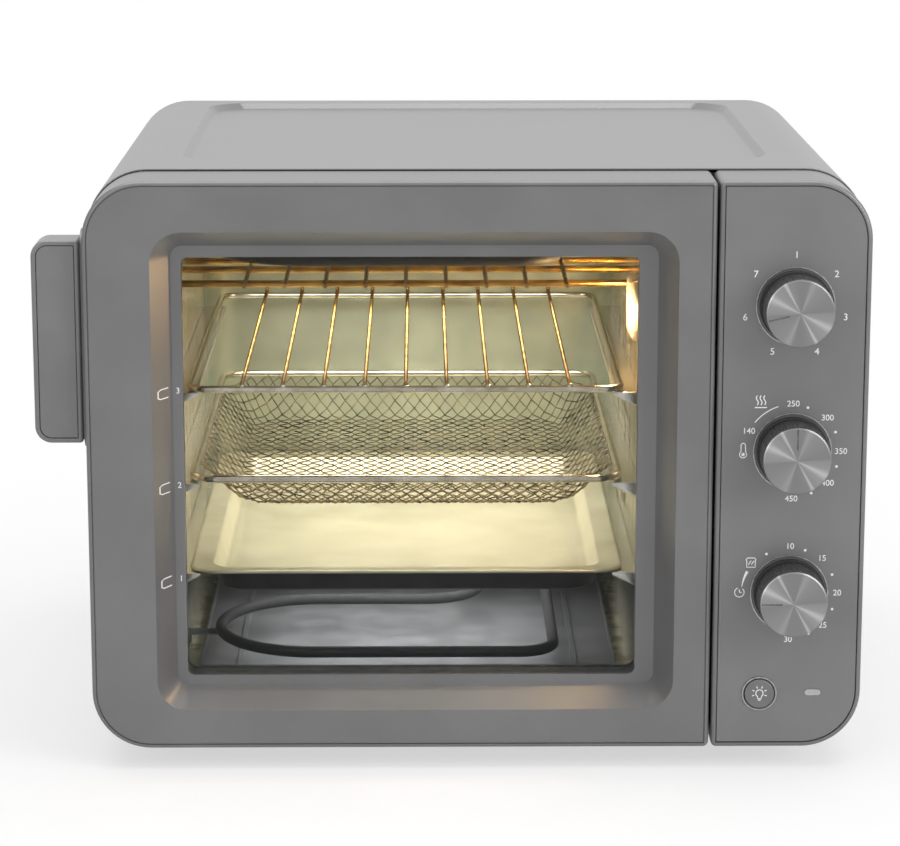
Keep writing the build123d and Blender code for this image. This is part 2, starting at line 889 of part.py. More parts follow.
def make_basket_floor():
    """Flat diamond net that closes the basket from below."""
    y0 = tray_front + 2 * basket_rod_radius + basket_end_inset
    y1 = tray_back - 2 * basket_rod_radius - basket_end_inset
    half = tray_half - 2 * basket_rod_radius - basket_side_inset
    middle = (y0 + y1) / 2
    net = Pos(cavity_centre, middle) * RectangleRounded(2 * half, y1 - y0, 22)
    columns = int((half - net_pitch_x) / net_pitch_x * 2)
    rows = int((middle - y0 - net_pitch_y) / net_pitch_y * 2)
    half_x = net_pitch_x / 2 - net_bar / 2
    half_y = net_pitch_y / 2 - net_bar / 2
    gap = Polygon((half_x, 0), (0, half_y), (-half_x, 0), (0, -half_y), align=None)
    gaps = []
    for row in range(-rows, rows + 1):
        for column in range(-columns, columns + 1):
            corner = abs(row) > rows - 3 and abs(column) > columns - 3
            if (row + column) % 2 == 0 and not corner:
                x = cavity_centre + column * net_pitch_x / 2
                gaps.append(Pos(x, middle + row * net_pitch_y / 2) * gap)
    net -= gaps
    z = basket_level() - basket_depth
    return deck(net, z - basket_sheet, z)


def pan_solid(inset, z0, z1):
    y0 = tray_front + pan_flange + inset
    y1 = tray_back - pan_flange - inset
    half = tray_half - pan_flange - inset
    middle = Pos(cavity_centre, (y0 + y1) / 2)
    high = Pos(0, 0, z1) * middle * RectangleRounded(2 * half, y1 - y0, 14)
    low = Pos(0, 0, z0) * middle * RectangleRounded(
        2 * (half - pan_draft), y1 - y0 - 2 * pan_draft, 12
    )
    return loft([low.face(), high.face()], ruled=True)


def make_baking_pan():
    """Shallow pan with a flat flange and a rolled edge."""
    top = rail_tops[0] + seat_gap + pan_sheet
    under = top - pan_depth
    middle = Pos(cavity_centre, (tray_front + tray_back) / 2)
    length = tray_back - tray_front
    flange = middle * RectangleRounded(2 * tray_half, length, 16)
    edge = flange - middle * RectangleRounded(2 * tray_half - 3, length - 3, 14.5)
    pan = deck(flange, top - pan_sheet, top) + deck(edge, top - pan_sheet, top + 1)
    pan += pan_solid(0, under, top)
    return pan - pan_solid(pan_sheet, under + pan_sheet, top)


def make_crumb_tray():
    z = cavity_bottom + seat_gap
    half = tray_half
    left = cavity_centre - half
    right = cavity_centre + half
    tray = block(left, right, tray_front, tray_back, z, z + crumb_tray_rim)
    tray -= block(left + 1, right - 1, tray_front + 1, tray_back - 1, z + 1, z + crumb_tray_rim + 1)
    for x in (left + 23, right - 23):
        tray += block(x - 1.5, x + 1.5, tray_front + 10, tray_back - 10, z + 0.5, z + 2)
    return tray


def make_fan_impeller():
    """Back disc with curved blades round a bored hub."""
    x0 = compartment_left + 5
    x1 = x0 + 18
    centre = Pos(fan_y, fan_z)
    disc = side_slab(centre * (Circle(fan_radius) - Circle(fan_shaft_radius)), x1 - 1.5, x1)
    disc += side_slab(centre * (Circle(9) - Circle(fan_shaft_radius)), x0 + 2, x1)
    inner = Vector(fan_radius * 0.42, 0)
    outer = Vector(fan_radius * 0.9, fan_radius * 0.28)
    bow = Vector(fan_radius * 0.7, fan_radius * 0.05)
    line = ThreePointArc(inner, bow, outer)
    blade = trace(line, 1.4)
    for step in range(fan_blades):
        turn = Rot(0, 0, 360 * step / fan_blades)
        disc += side_slab(centre * turn * blade, x0, x1 - 1.5)
    return disc


def make_fan_shaft():
    x0 = compartment_left + 7
    x1 = compartment_left + shroud_depth + 12
    return side_slab(Pos(fan_y, fan_z) * Circle(fan_shaft_radius), x0, x1)


def make_fan_shroud():
    x0 = compartment_left
    x1 = x0 + shroud_depth
    centre = Pos(fan_y, fan_z)
    shroud = side_slab(centre * (Circle(shroud_radius) - Circle(shroud_radius - 1)), x0, x1)
    shroud += side_slab(centre * (Circle(shroud_radius + 8) - Circle(shroud_radius - 1)), x0, x0 + 1)
    return shroud + side_slab(centre * (Circle(shroud_radius) - Circle(fan_shaft_radius + 3)), x1 - 1, x1)


def make_fan_motor():
    x0 = compartment_left + shroud_depth
    x1 = x0 + motor_length
    centre = Pos(fan_y, fan_z)
    motor = side_slab(centre * Circle(motor_radius), x0 + 4, x1)
    motor += side_slab(centre * Circle(motor_radius * 0.5), x0, x0 + 4)
    bore = side_slab(centre * Circle(fan_shaft_radius + running_gap), x0 - 1, x0 + 13)
    return motor - bore


def make_lamp_lens():
    """Domed glass cover over the lamp opening, inside the cooking space."""
    place = Pos(lamp_y, lamp_z)
    lens = side_slab(place * RectangleRounded(lamp_width, lamp_height, 8), cavity_right - 5, cavity_right)
    lens = fillet(lens.faces().sort_by(Axis.X)[0].edges(), 3)
    hollow = place * RectangleRounded(lamp_width - 6, lamp_height - 6, 5)
    return lens - side_slab(hollow, cavity_right - 3, cavity_right + 1)


def make_lamp_holder():
    place = Pos(lamp_y, lamp_z)
    x0 = compartment_left
    cup = side_slab(place * RectangleRounded(lamp_width, lamp_height, 8), x0, x0 + 26)
    cup -= side_slab(place * RectangleRounded(lamp_width - 3, lamp_height - 3, 6.5), x0 - 1, x0 + 24.5)
    return cup


def make_lamp_bulb():
    x1 = compartment_left + 24.5
    place = Pos(lamp_y, lamp_z)
    bulb = side_slab(place * Circle(5), x1 - 9, x1)
    glass = side_slab(place * Circle(4), x1 - 21, x1 - 8)
    glass = fillet(glass.edges().sort_by(Axis.X)[0], 3)
    return bulb + glass


def make_magnet():
    x0 = cavity_left - 30
    return block(x0, x0 + 12, plate_back, plate_back + 8, fascia_bottom + 200, fascia_bottom + 240)


def make_feet():
    feet = []
    for x in (fascia_left + foot_inset_x, fascia_right - foot_inset_x):
        for y in (foot_inset_front, body_back - foot_inset_back):
            low = Pos(x, y, 0) * Circle(foot_radius - 2)
            high = Pos(x, y, foot_height) * Circle(foot_radius)
            feet.append(loft([low.face(), high.face()], ruled=True))
    return feet


pieces = {
    "outer_wrapper": make_wrapper(),
    "bottom_plate": make_bottom_plate(),
    "rear_panel": make_rear_panel(),
    "rear_cover": make_rear_cover(),
    "mains_gland": make_gland(),
    "front_plate": make_front_plate(),
    "cavity_left_wall": make_side_wall(cavity_left - cavity_sheet, cavity_left),
    "cavity_right_wall": make_right_wall(),
    "cavity_back": make_cavity_back(),
    "cavity_floor": make_deck_plate(cavity_bottom - cavity_sheet, cavity_bottom),
    "cavity_ceiling": make_deck_plate(cavity_top, cavity_top + cavity_sheet),
    "rack_rails": make_rails(),
    "upper_heater": make_heater("upper"),
    "lower_heater": make_heater("lower"),
    "heater_terminals": make_heater_terminals(),
    "heater_clips": make_heater_clips(),
    "heater_guard": make_heater_guard(),
    "lamp_lens": make_lamp_lens(),
    "lamp_holder": make_lamp_holder(),
    "lamp_bulb": make_lamp_bulb(),
    "fan_shroud": make_fan_shroud(),
    "fan_motor": make_fan_motor(),
    "fan_shaft": make_fan_shaft(),
    "fan_impeller": make_fan_impeller(),
    "control_housing": make_control_housing(),
    "control_face": make_control_face(),
    "bezel_rings": make_bezel_rings(),
    "lamp_switch": make_lamp_switch(),
    "lamp_button": make_button(),
    "indicator_lens": make_indicator(),
    "hinge_brackets": make_hinge_brackets(),
    "hinge_bushes": make_hinge_bushes(),
    "door_magnet": make_magnet(),
    "feet": make_feet(),
    "door_frame": make_door_frame(),
    "door_glass": slab(window_outline(glass_overlap), glass_front, glass_front + glass_thickness),
    "glass_spacer": make_glass_spacer(),
    "inner_glass": slab(window_outline(glass_overlap), inner_glass_front, liner_front),
    "door_liner": make_door_liner(),
    "door_gasket": make_door_gasket(),
    "handle_body": make_handle(),
    "handle_face": make_handle_face(),
    "wire_rack": make_wire_rack(),
    "basket_rim": make_basket_rim(),
    "basket_walls": make_basket_walls(),
    "basket_floor": make_basket_floor(),
    "baking_pan": make_baking_pan(),
    "crumb_tray": make_crumb_tray(),
}
for knob_name, knob_height, knob_pointer in zip(knob_names, knob_heights, knob_pointers):
    pieces[knob_name + "_knob"] = make_knob(knob_height)
    pieces[knob_name + "_knob_cap"] = make_knob_cap(knob_height, knob_pointer)
    pieces[knob_name + "_spindle"] = make_spindle(knob_height)
    pieces[knob_name + "_switch"] = make_switch(knob_height)

# The origin is the middle of the footprint on the counter.
centre_x = (handle_left + fascia_right + wrapper_overhang) / 2
centre_y = (rear_back - knob_reach) / 2
to_origin = Pos(-centre_x, -centre_y, 0)

os.makedirs("parts", exist_ok=True)
for name, piece in pieces.items():
    solids = piece if isinstance(piece, list) else [piece]
    placed = [to_origin * solid for solid in solids]
    shape = placed[0] if len(placed) == 1 else Compound(children=placed)
    export_step(shape, "parts/" + name + ".step")
    print(name)
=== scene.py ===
import json
from math import atan2, ceil, cos, hypot, pi, radians, sin

import bmesh
import bpy
from mathutils import Matrix, Vector


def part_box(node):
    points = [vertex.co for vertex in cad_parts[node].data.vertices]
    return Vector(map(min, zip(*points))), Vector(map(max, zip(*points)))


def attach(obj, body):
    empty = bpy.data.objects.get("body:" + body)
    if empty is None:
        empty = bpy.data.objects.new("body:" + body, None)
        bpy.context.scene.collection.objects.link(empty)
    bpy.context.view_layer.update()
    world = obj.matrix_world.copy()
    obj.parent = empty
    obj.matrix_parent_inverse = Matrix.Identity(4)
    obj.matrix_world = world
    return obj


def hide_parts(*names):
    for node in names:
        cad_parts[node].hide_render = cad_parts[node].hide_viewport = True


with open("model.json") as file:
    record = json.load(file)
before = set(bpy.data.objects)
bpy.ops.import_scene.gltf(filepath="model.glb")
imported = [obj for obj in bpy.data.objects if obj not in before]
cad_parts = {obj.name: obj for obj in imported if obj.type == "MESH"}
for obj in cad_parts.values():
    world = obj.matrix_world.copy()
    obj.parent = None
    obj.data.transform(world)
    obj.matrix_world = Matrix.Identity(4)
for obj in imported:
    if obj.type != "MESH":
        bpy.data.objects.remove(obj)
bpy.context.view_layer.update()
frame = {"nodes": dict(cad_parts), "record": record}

MM = 0.001

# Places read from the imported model, in metres.
door_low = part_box("door_frame")[0]
panel_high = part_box("control_housing")[1]
face_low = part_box("control_face")[0]
wall_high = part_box("cavity_left_wall")[1]
right_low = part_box("cavity_right_wall")[0]
rear_low, rear_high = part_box("rear_panel")
front_y = door_low.y
fascia_middle = (door_low.x + panel_high.x) / 2


def linear(hex_code):
    """sRGB hex colour turned to linear RGBA."""
    channels = []
    for start in (0, 2, 4):
        value = int(hex_code[start:start + 2], 16) / 255
        channels.append(value / 12.92 if value <= 0.04045 else ((value + 0.055) / 1.055) ** 2.4)
    return (*channels, 1.0)


def node(tree, kind, settings=None, **inputs):
    """Adds a shader node with its settings, and sets or links its inputs."""
    made = tree.nodes.new("ShaderNode" + kind)
    for key, value in (settings or {}).items():
        setattr(made, key, value)
    for key, value in inputs.items():
        place = int(key[1:]) if key[0] == "i" and key[1:].isdigit() else key.replace("_", " ")
        if isinstance(value, bpy.types.NodeSocket):
            tree.links.new(value, made.inputs[place])
        else:
            made.inputs[place].default_value = value
    return made


def new_material(name):
    material = bpy.data.materials.new(name)
    material.use_nodes = True
    tree = material.node_tree
    tree.nodes.clear()
    return material, tree


def grain(tree, size_mm, stretch=(1, 1, 1), detail=3.0):
    """Noise whose spots are size_mm across on the real surface, drawn out along an axis by stretch."""
    place = node(tree, "TexCoord").outputs["Object"]
    scale = [1 / (size_mm * MM * factor) for factor in stretch]
    drawn = node(tree, "Mapping", Vector=place, Scale=scale)
    return node(tree, "TexNoise", Vector=drawn.outputs[0], Scale=1.0, Detail=detail).outputs["Fac"]


def tint(tree, factor, dark, light, low=0.35, high=0.65):
    """Colour that moves between two hex values with a 0 to 1 factor."""
    ramp = node(tree, "ValToRGB", Fac=factor)
    ramp.color_ramp.elements[0].position = low
    ramp.color_ramp.elements[1].position = high
    ramp.color_ramp.elements[0].color = linear(dark)
    ramp.color_ramp.elements[1].color = linear(light)
    return ramp.outputs["Color"]


def between(tree, factor, low, high):
    """Number that moves from low to high with a 0 to 1 factor."""
    return node(tree, "MapRange", Value=factor, To_Min=low, To_Max=high).outputs[0]


def surface(name, dark, light, size_mm, metallic, roughness, bump=0.0, bump_mm=0.5,
            stretch=(1, 1, 1), bump_stretch=(1, 1, 1), spread=0.05, **sockets):
    """Finish with a fine colour change, uneven gloss and a small bump."""
    material, tree = new_material(name)
    spots = grain(tree, size_mm, stretch)
    colour = tint(tree, spots, dark, light)
    gloss = between(tree, spots, roughness - spread, roughness + spread)
    shader = node(tree, "BsdfPrincipled", Base_Color=colour, Roughness=gloss, Metallic=metallic, **sockets)
    if bump:
        height = grain(tree, bump_mm, bump_stretch, 2.0)
        lifted = node(tree, "Bump", Strength=bump, Distance=bump_mm * MM * 0.2, Height=height)
        tree.links.new(lifted.outputs[0], shader.inputs["Normal"])
    tree.links.new(shader.outputs[0], node(tree, "OutputMaterial").inputs[0])
    return material


# Satin metallic paint on pressed steel: an even mid grey with a soft sheen and a fine flake.
fascia_paint = surface(
    "satin_metallic_paint", "6f6f70", "767677", size_mm=60, metallic=0.30, roughness=0.36, bump=0.04,
    bump_mm=0.45,
)
# The same paint on the control panel, painted a little lighter: painted light standing in for the panel being
# lit from a little nearer.
panel_paint_painted_light = surface(
    "satin_panel_paint_painted_light", "757576", "7b7b7c", size_mm=60, metallic=0.30, roughness=0.36, bump=0.04,
    bump_mm=0.45,
)
# And on the moulded handle, painted a little lighter than the door: painted light.
handle_paint_painted_light = surface(
    "satin_handle_paint_painted_light", "737374", "7a7a7b", size_mm=40, metallic=0.30, roughness=0.34, bump=0.04,
    bump_mm=0.45,
)
# The wrapper is the same paint over a rolled sheet, painted a little lighter: painted light standing in for
# the brighter light on its top.
wrapper_paint_painted_light = surface(
    "rolled_sheet_paint_painted_light", "7c7c7d", "838384", size_mm=80, metallic=0.30, roughness=0.38, bump=0.04,
    bump_mm=0.5, stretch=(8, 1, 1),
)
# Black heat-proof paint, dull and slightly grainy. On the knob collars it is painted shade, standing in for
# the dark gap at their foot.
black_paint_and_collar_shade = surface(
    "heatproof_black_paint_and_collar_shade", "0c0c0c", "151515", size_mm=4, metallic=0.0, roughness=0.6, bump=0.1,
    bump_mm=0.4,
)
# Galvanised sheet keeps a faint crystal bloom.
zinc_sheet = surface(
    "galvanised_sheet", "8d9192", "a3a6a6", size_mm=7, metallic=0.9, roughness=0.42, bump=0.05,
    bump_mm=1.0,
)
# Aluminised sheet: bright, softly reflective, with rolling marks along the oven's depth.
cavity_metal = surface(
    "aluminised_sheet", "a39f86", "ddd9c6", size_mm=16, metallic=0.6, roughness=0.22, bump=0.02,
    bump_mm=2.0, stretch=(1, 1, 60), bump_stretch=(1, 1, 20),
)
# Pressed rails catch the light along their whole length.
rail_metal = surface(
    "pressed_bright_rail", "c9c8c0", "e9e8e2", size_mm=14, metallic=0.9, roughness=0.18, bump=0.0,
    bump_mm=1.0, stretch=(1, 20, 1),
)
# The back sheet is duller, and painted slightly green: a painted tint standing in for the oven's own light.
cavity_back_metal = surface(
    "aluminised_back_sheet", "a1a997", "b1b9a6", size_mm=30, metallic=0.4, roughness=0.34, bump=0.03,
    bump_mm=1.2,
)
# Bright chromium plate on wire, slightly straw-tinted by heat.
chrome_wire = surface(
    "chromed_wire", "b9b1a0", "d8d3c6", size_mm=12, metallic=1.0, roughness=0.14, spread=0.05,
)
# Thin woven stainless wire, dulled and browned by heat.
woven_wire = surface(
    "stainless_woven_wire", "5c5140", "94866a", size_mm=9, metallic=1.0, roughness=0.28, spread=0.06,
)
# Wire that has run hot: golden brown.
guard_wire = surface(
    "heat_stained_wire", "8a6326", "c29a52", size_mm=14, metallic=1.0, roughness=0.25, spread=0.06,
)
# Oxidised sheath of a heating rod: nearly black, dull.
heater_sheath = surface(
    "oxidised_heater_sheath", "262626", "303030", size_mm=3, metallic=0.1, roughness=0.62, bump=0.15,
    bump_mm=0.6,
)
# Unglazed steatite ceramic.
steatite = surface(
    "steatite", "d6d0bf", "e4dfd0", size_mm=3, metallic=0.0, roughness=0.7, bump=0.1, bump_mm=0.5,
)
# Plain bright steel of small turned and stamped pieces.
bright_steel = surface(
    "bright_steel", "9a9a9a", "b4b4b4", size_mm=5, metallic=1.0, roughness=0.28, spread=0.06,
)
# Glass-filled nylon mouldings.
black_nylon = surface(
    "black_nylon", "101011", "1a1a1b", size_mm=1.5, metallic=0.0, roughness=0.5, bump=0.12,
    bump_mm=0.3,
)
foot_rubber = surface(
    "moulded_rubber", "111111", "1b1b1b", size_mm=2, metallic=0.0, roughness=0.75, bump=0.15,
    bump_mm=0.4,
)
seal_rubber = surface(
    "silicone_seal", "151515", "1e1e1e", size_mm=2, metallic=0.0, roughness=0.55, bump=0.1,
    bump_mm=0.4,
)
# Champagne non-stick coating inside the pan, dark grey coating outside.
pan_inside = surface(
    "champagne_nonstick", "aaa78e", "bab7a0", size_mm=25, metallic=0.5, roughness=0.30, bump=0.05,
    bump_mm=0.4,
)
pan_outside = surface(
    "dark_nonstick", "3c3c3b", "474746", size_mm=10, metallic=0.4, roughness=0.38, bump=0.08,
    bump_mm=0.4,
)
# Grey non-stick coating of the crumb tray, with a broad soft sheen.
tray_coating = surface(
    "dark_tray_coating", "5c5d5e", "6c6d6e", size_mm=18, metallic=0.45, roughness=0.32, bump=0.05,
    bump_mm=0.5,
)
# Dark anodised, machine-knurled aluminium.
knurled_metal = surface(
    "knurled_anodised_aluminium", "5a5a5a", "757575", size_mm=2, metallic=0.9, roughness=0.34,
    bump=0.1, bump_mm=0.3,
)
# Fine turned ring, brighter than the panel round it.
trim_metal = surface(
    "turned_trim_ring", "8c8c8c", "a5a5a5", size_mm=2, metallic=1.0, roughness=0.25, spread=0.05,
)
# Where the painted highlight wedges of a spun face lie, as a share of half a turn from the top.
SPUN_SHADE = "848484"
SPUN_PAINTED_HIGHLIGHTS = (
    (0.07, SPUN_SHADE), (0.12, "9a9a9a"), (0.19, "8c8c8c"),
    (0.47, SPUN_SHADE), (0.5, "909090"), (0.59, "979797"), (0.65, "b6b6b6"), (0.71, "8e8e8e"),
    (0.81, SPUN_SHADE), (0.84, "b0b0b0"), (0.865, SPUN_SHADE),
)
# Screen-printed ceramic ink.
white_ink = surface("white_screen_ink", "ececec", "f6f6f6", size_mm=1.2, metallic=0.0, roughness=0.6)
# Painted push button, a shade darker than the panel.
button_paint = surface(
    "painted_button", "6d6d6e", "757576", size_mm=12, metallic=0.2, roughness=0.38, bump=0.04,
    bump_mm=0.4,
)
# Milky moulded lens, unlit.
indicator_lens = surface("milky_indicator_lens", "a9a9a8", "b4b4b2", size_mm=2, metallic=0.0, roughness=0.3)


def spun_metal(name):
    """Clear-anodised aluminium turned on a lathe: fine rings, and painted highlight wedges from the middle,
    set in the colour by angle.
    """
    material, tree = new_material(name)
    place = node(tree, "TexCoord").outputs["Generated"]
    centred = node(tree, "Mapping", Vector=place, Location=(-0.5, -0.5, -0.5))
    parts = node(tree, "SeparateXYZ", Vector=centred.outputs[0])
    flat = node(tree, "CombineXYZ", X=parts.outputs["X"], Y=parts.outputs["Z"], Z=0.0)
    reach = node(tree, "VectorMath", {"operation": "LENGTH"}, i0=flat.outputs[0])
    rings = node(
        tree, "TexNoise", {"noise_dimensions": "1D"}, W=reach.outputs["Value"], Scale=190.0, Detail=2.0
    )
    turn = node(tree, "Math", {"operation": "ARCTAN2"}, i0=parts.outputs["X"], i1=parts.outputs["Z"])
    half_turn = node(tree, "Math", {"operation": "DIVIDE"}, i0=turn.outputs[0], i1=pi)
    share = node(tree, "Math", {"operation": "WRAP"}, i0=half_turn.outputs[0], i1=1.0, i2=0.0)
    # Painted highlights: lighter bands set in the colour by the angle round the middle.
    wedges = node(tree, "ValToRGB", Fac=share.outputs[0])
    stops = wedges.color_ramp.elements
    stops[0].color = stops[1].color = linear(SPUN_SHADE)
    for position, colour in SPUN_PAINTED_HIGHLIGHTS:
        stops.new(position).color = linear(colour)
    shade = between(tree, rings.outputs["Fac"], 0.9, 1.1)
    lit = node(tree, "VectorMath", {"operation": "SCALE"}, i0=wedges.outputs["Color"], Scale=shade)
    tangent = node(tree, "Tangent", {"direction_type": "RADIAL", "axis": "Y"})
    shader = node(
        tree, "BsdfPrincipled", Base_Color=lit.outputs[0], Metallic=1.0, Roughness=0.34, Anisotropic=0.85,
        Tangent=tangent.outputs[0],
    )
    tree.links.new(shader.outputs[0], node(tree, "OutputMaterial").inputs[0])
    return material


def clear_glass(name, colour, alpha, glow=0.0):
    """Thin clear pane: mostly see-through, with a faint tint and a mirror sheen."""
    material, tree = new_material(name)
    cloud = between(tree, grain(tree, 40), 0.02, 0.05)
    shader = node(
        tree, "BsdfPrincipled", Base_Color=linear(colour), Roughness=cloud, Alpha=alpha, Metallic=0.0
    )
    if glow:
        shader.inputs["Emission Color"].default_value = linear(colour)
        shader.inputs["Emission Strength"].default_value = glow
    tree.links.new(shader.outputs[0], node(tree, "OutputMaterial").inputs[0])
    return material


knob_face = spun_metal("spun_aluminium_painted_highlights")
door_pane = clear_glass("toughened_glass", "151a17", 0.07)
lamp_glass = clear_glass("lamp_cover_glass", "e8dcc4", 0.45, 0.06)


def finish_piece(bm, name, material, body, smooth_angle=35):
    """Turns a bmesh into an object that rides on a body."""
    mesh = bpy.data.meshes.new(name)
    for edge in bm.edges:
        edge.smooth = len(edge.link_faces) != 2 or edge.calc_face_angle(0) < radians(smooth_angle)
    for face in bm.faces:
        face.smooth = True
    bm.to_mesh(mesh)
    bm.free()
    piece = bpy.data.objects.new(name, mesh)
    bpy.context.scene.collection.objects.link(piece)
    mesh.materials.append(material)
    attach(piece, body)
    return piece


bodies_of = {}
for body_name, members in frame["record"]["behaviour"]["bodies"].items():
    for member in members:
        bodies_of[member] = body_name


def dress(cad_node, material, edge_mm=0.3, segments=2):
    """Smooth copy of a CAD piece, with its sharp edges rounded as a press or mould leaves them."""
    bm = bmesh.new()
    bm.from_mesh(frame["nodes"][cad_node].data)
    bmesh.ops.remove_doubles(bm, verts=bm.verts, dist=1e-6)
    bmesh.ops.dissolve_limit(bm, angle_limit=radians(0.5), verts=bm.verts, edges=bm.edges)
    if edge_mm:
        sharp = [e for e in bm.edges if len(e.link_faces) == 2 and e.calc_face_angle(0) > radians(35)]
        bmesh.ops.bevel(
            bm, geom=sharp, offset=edge_mm * MM, affect="EDGES", segments=segments,
            profile=0.5, material=-1, clamp_overlap=True,
        )
    piece = finish_piece(bm, cad_node + "_shell", material, bodies_of[cad_node])
    weighted = piece.modifiers.new("even_shading", "WEIGHTED_NORMAL")
    weighted.keep_sharp = True
    weighted.weight = 100
    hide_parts(cad_node)
    return piece


# control_face, handle_body, handle_face and outer_wrapper take lighter copies of the paint, which are painted
# light.
dressed = {
    "outer_wrapper": (wrapper_paint_painted_light, 0.4),
    "door_frame": (fascia_paint, 0.25),
    "control_housing": (fascia_paint, 0.25),
    "control_face": (panel_paint_painted_light, 0.3),
    "front_plate": (black_paint_and_collar_shade, 0.0),
    "handle_body": (handle_paint_painted_light, 0.3),
    "handle_face": (handle_paint_painted_light, 0.3),
    "door_liner": (zinc_sheet, 0.0),
    "rear_cover": (zinc_sheet, 0.3),
    "rear_panel": (zinc_sheet, 0.0),
    "mains_gland": (black_nylon, 0.5),
    "cavity_back": (cavity_back_metal, 0.0),
    "rack_rails": (rail_metal, 1.0),
    "upper_heater": (heater_sheath, 0.0),
    "lower_heater": (heater_sheath, 0.0),
    "lamp_lens": (lamp_glass, 0.4),
    "lamp_button": (button_paint, 0.2),
    "indicator_lens": (indicator_lens, 0.2),
    "bezel_rings": (trim_metal, 0.25),
    "feet": (foot_rubber, 0.6),
    "crumb_tray": (tray_coating, 0.3),
    "fan_impeller": (bright_steel, 0.0),
    "heater_terminals": (steatite, 0.4),
}
for dressed_node, (finish, edge_width) in dressed.items():
    dress(dressed_node, finish, edge_width)

plain_finishes = {
    "bottom_plate": zinc_sheet,
    "cavity_left_wall": cavity_metal,
    "cavity_right_wall": cavity_metal,
    "cavity_floor": cavity_metal,
    "cavity_ceiling": cavity_metal,
    "heater_clips": zinc_sheet,
    "lamp_holder": zinc_sheet,
    "lamp_bulb": lamp_glass,
    "fan_shroud": zinc_sheet,
    "fan_motor": zinc_sheet,
    "fan_shaft": bright_steel,
    "lamp_switch": black_nylon,
    "hinge_brackets": bright_steel,
    "hinge_bushes": black_nylon,
    "door_magnet": black_nylon,
    "door_glass": door_pane,
    "inner_glass": door_pane,
    "glass_spacer": zinc_sheet,
    "door_gasket": seal_rubber,
}
for dial in ("function", "temperature", "timer"):
    plain_finishes[dial + "_spindle"] = bright_steel
    plain_finishes[dial + "_switch"] = black_nylon
for plain_node, finish in plain_finishes.items():
    mesh = frame["nodes"][plain_node].data
    mesh.materials.clear()
    mesh.materials.append(finish)


def wires(name, paths, radius, material, body, node_names=(), sides=2, loop=False):
    """Round wires along lists of points, made one mesh."""
    curve = bpy.data.curves.new(name, "CURVE")
    curve.dimensions = "3D"
    curve.bevel_depth = radius
    curve.bevel_resolution = sides
    curve.use_fill_caps = not loop
    for path in paths:
        spline = curve.splines.new("POLY")
        spline.points.add(len(path) - 1)
        for point, place in zip(spline.points, path):
            point.co = (*place, 1.0)
        spline.use_cyclic_u = loop
    holder = bpy.data.objects.new(name + "_path", curve)
    bpy.context.scene.collection.objects.link(holder)
    shaped = holder.evaluated_get(bpy.context.evaluated_depsgraph_get())
    bm = bmesh.new()
    bm.from_mesh(bpy.data.meshes.new_from_object(shaped))
    bpy.data.objects.remove(holder)
    piece = finish_piece(bm, name, material, body, 100)
    if node_names:
        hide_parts(*node_names)
    return piece


def rounded_loop(x0, x1, y0, y1, z, corner, steps=8):
    """Points of a rectangle with round corners, seen from above."""
    points = []
    corners = ((x1 - corner, y1 - corner, 0), (x0 + corner, y1 - corner, 90),
               (x0 + corner, y0 + corner, 180), (x1 - corner, y0 + corner, 270))
    for cx, cy, start in corners:
        for step in range(steps + 1):
            angle = radians(start + 90 * step / steps)
            points.append((cx + corner * cos(angle), cy + corner * sin(angle), z))
    return points


# Wire rack: a bent frame and nine wires welded on top, turned up at the rear.
RACK_ROD = 2.0 * MM
RACK_WIRE = 1.2 * MM
RACK_CORNER = 11 * MM
RACK_PITCH = 22.6 * MM
WIRE_TURN_UP = 4 * MM
WELD_RADIUS = 1.7 * MM
rack_low, rack_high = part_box("wire_rack")
rack_z = rack_low.z + RACK_ROD
rack_box = (
    rack_low.x + RACK_ROD, rack_high.x - RACK_ROD, rack_low.y + RACK_ROD, rack_high.y - RACK_ROD,
)
wires("wire_rack_frame", [rounded_loop(*rack_box, rack_z, RACK_CORNER - RACK_ROD)], RACK_ROD,
      chrome_wire, "wire_rack", ["wire_rack"], 3, True)
rack_middle_x = (rack_low.x + rack_high.x) / 2
rack_top = rack_high.z - RACK_WIRE
cross_wires = []
for step in range(-4, 5):
    wire_x = rack_middle_x + step * RACK_PITCH
    cross_wires.append([
        (wire_x, rack_box[2] + 0.2 * MM, rack_top - 0.8 * MM),
        (wire_x, rack_box[2] + 3 * MM, rack_top),
        (wire_x, rack_box[3] - 0.5 * MM, rack_top),
        (wire_x, rack_box[3] + 0.6 * MM, rack_top + 1.2 * MM),
        (wire_x, rack_box[3] + 0.8 * MM, rack_top + WIRE_TURN_UP),
    ])
wires("wire_rack_wires", cross_wires, RACK_WIRE, guard_wire, "wire_rack", (), 3)
bm = bmesh.new()
for step in range(-4, 5):
    for weld_y in (rack_box[2], rack_box[3]):
        spot = Matrix.Translation((rack_middle_x + step * RACK_PITCH, weld_y, rack_top - 0.9 * MM))
        bmesh.ops.create_icosphere(bm, subdivisions=2, radius=WELD_RADIUS, matrix=spot)
finish_piece(bm, "wire_rack_welds", chrome_wire, "wire_rack")

# Upper heater guard, stained by heat.
guard_node = frame["nodes"]["heater_guard"].data
guard_node.materials.clear()
guard_node.materials.append(guard_wire)


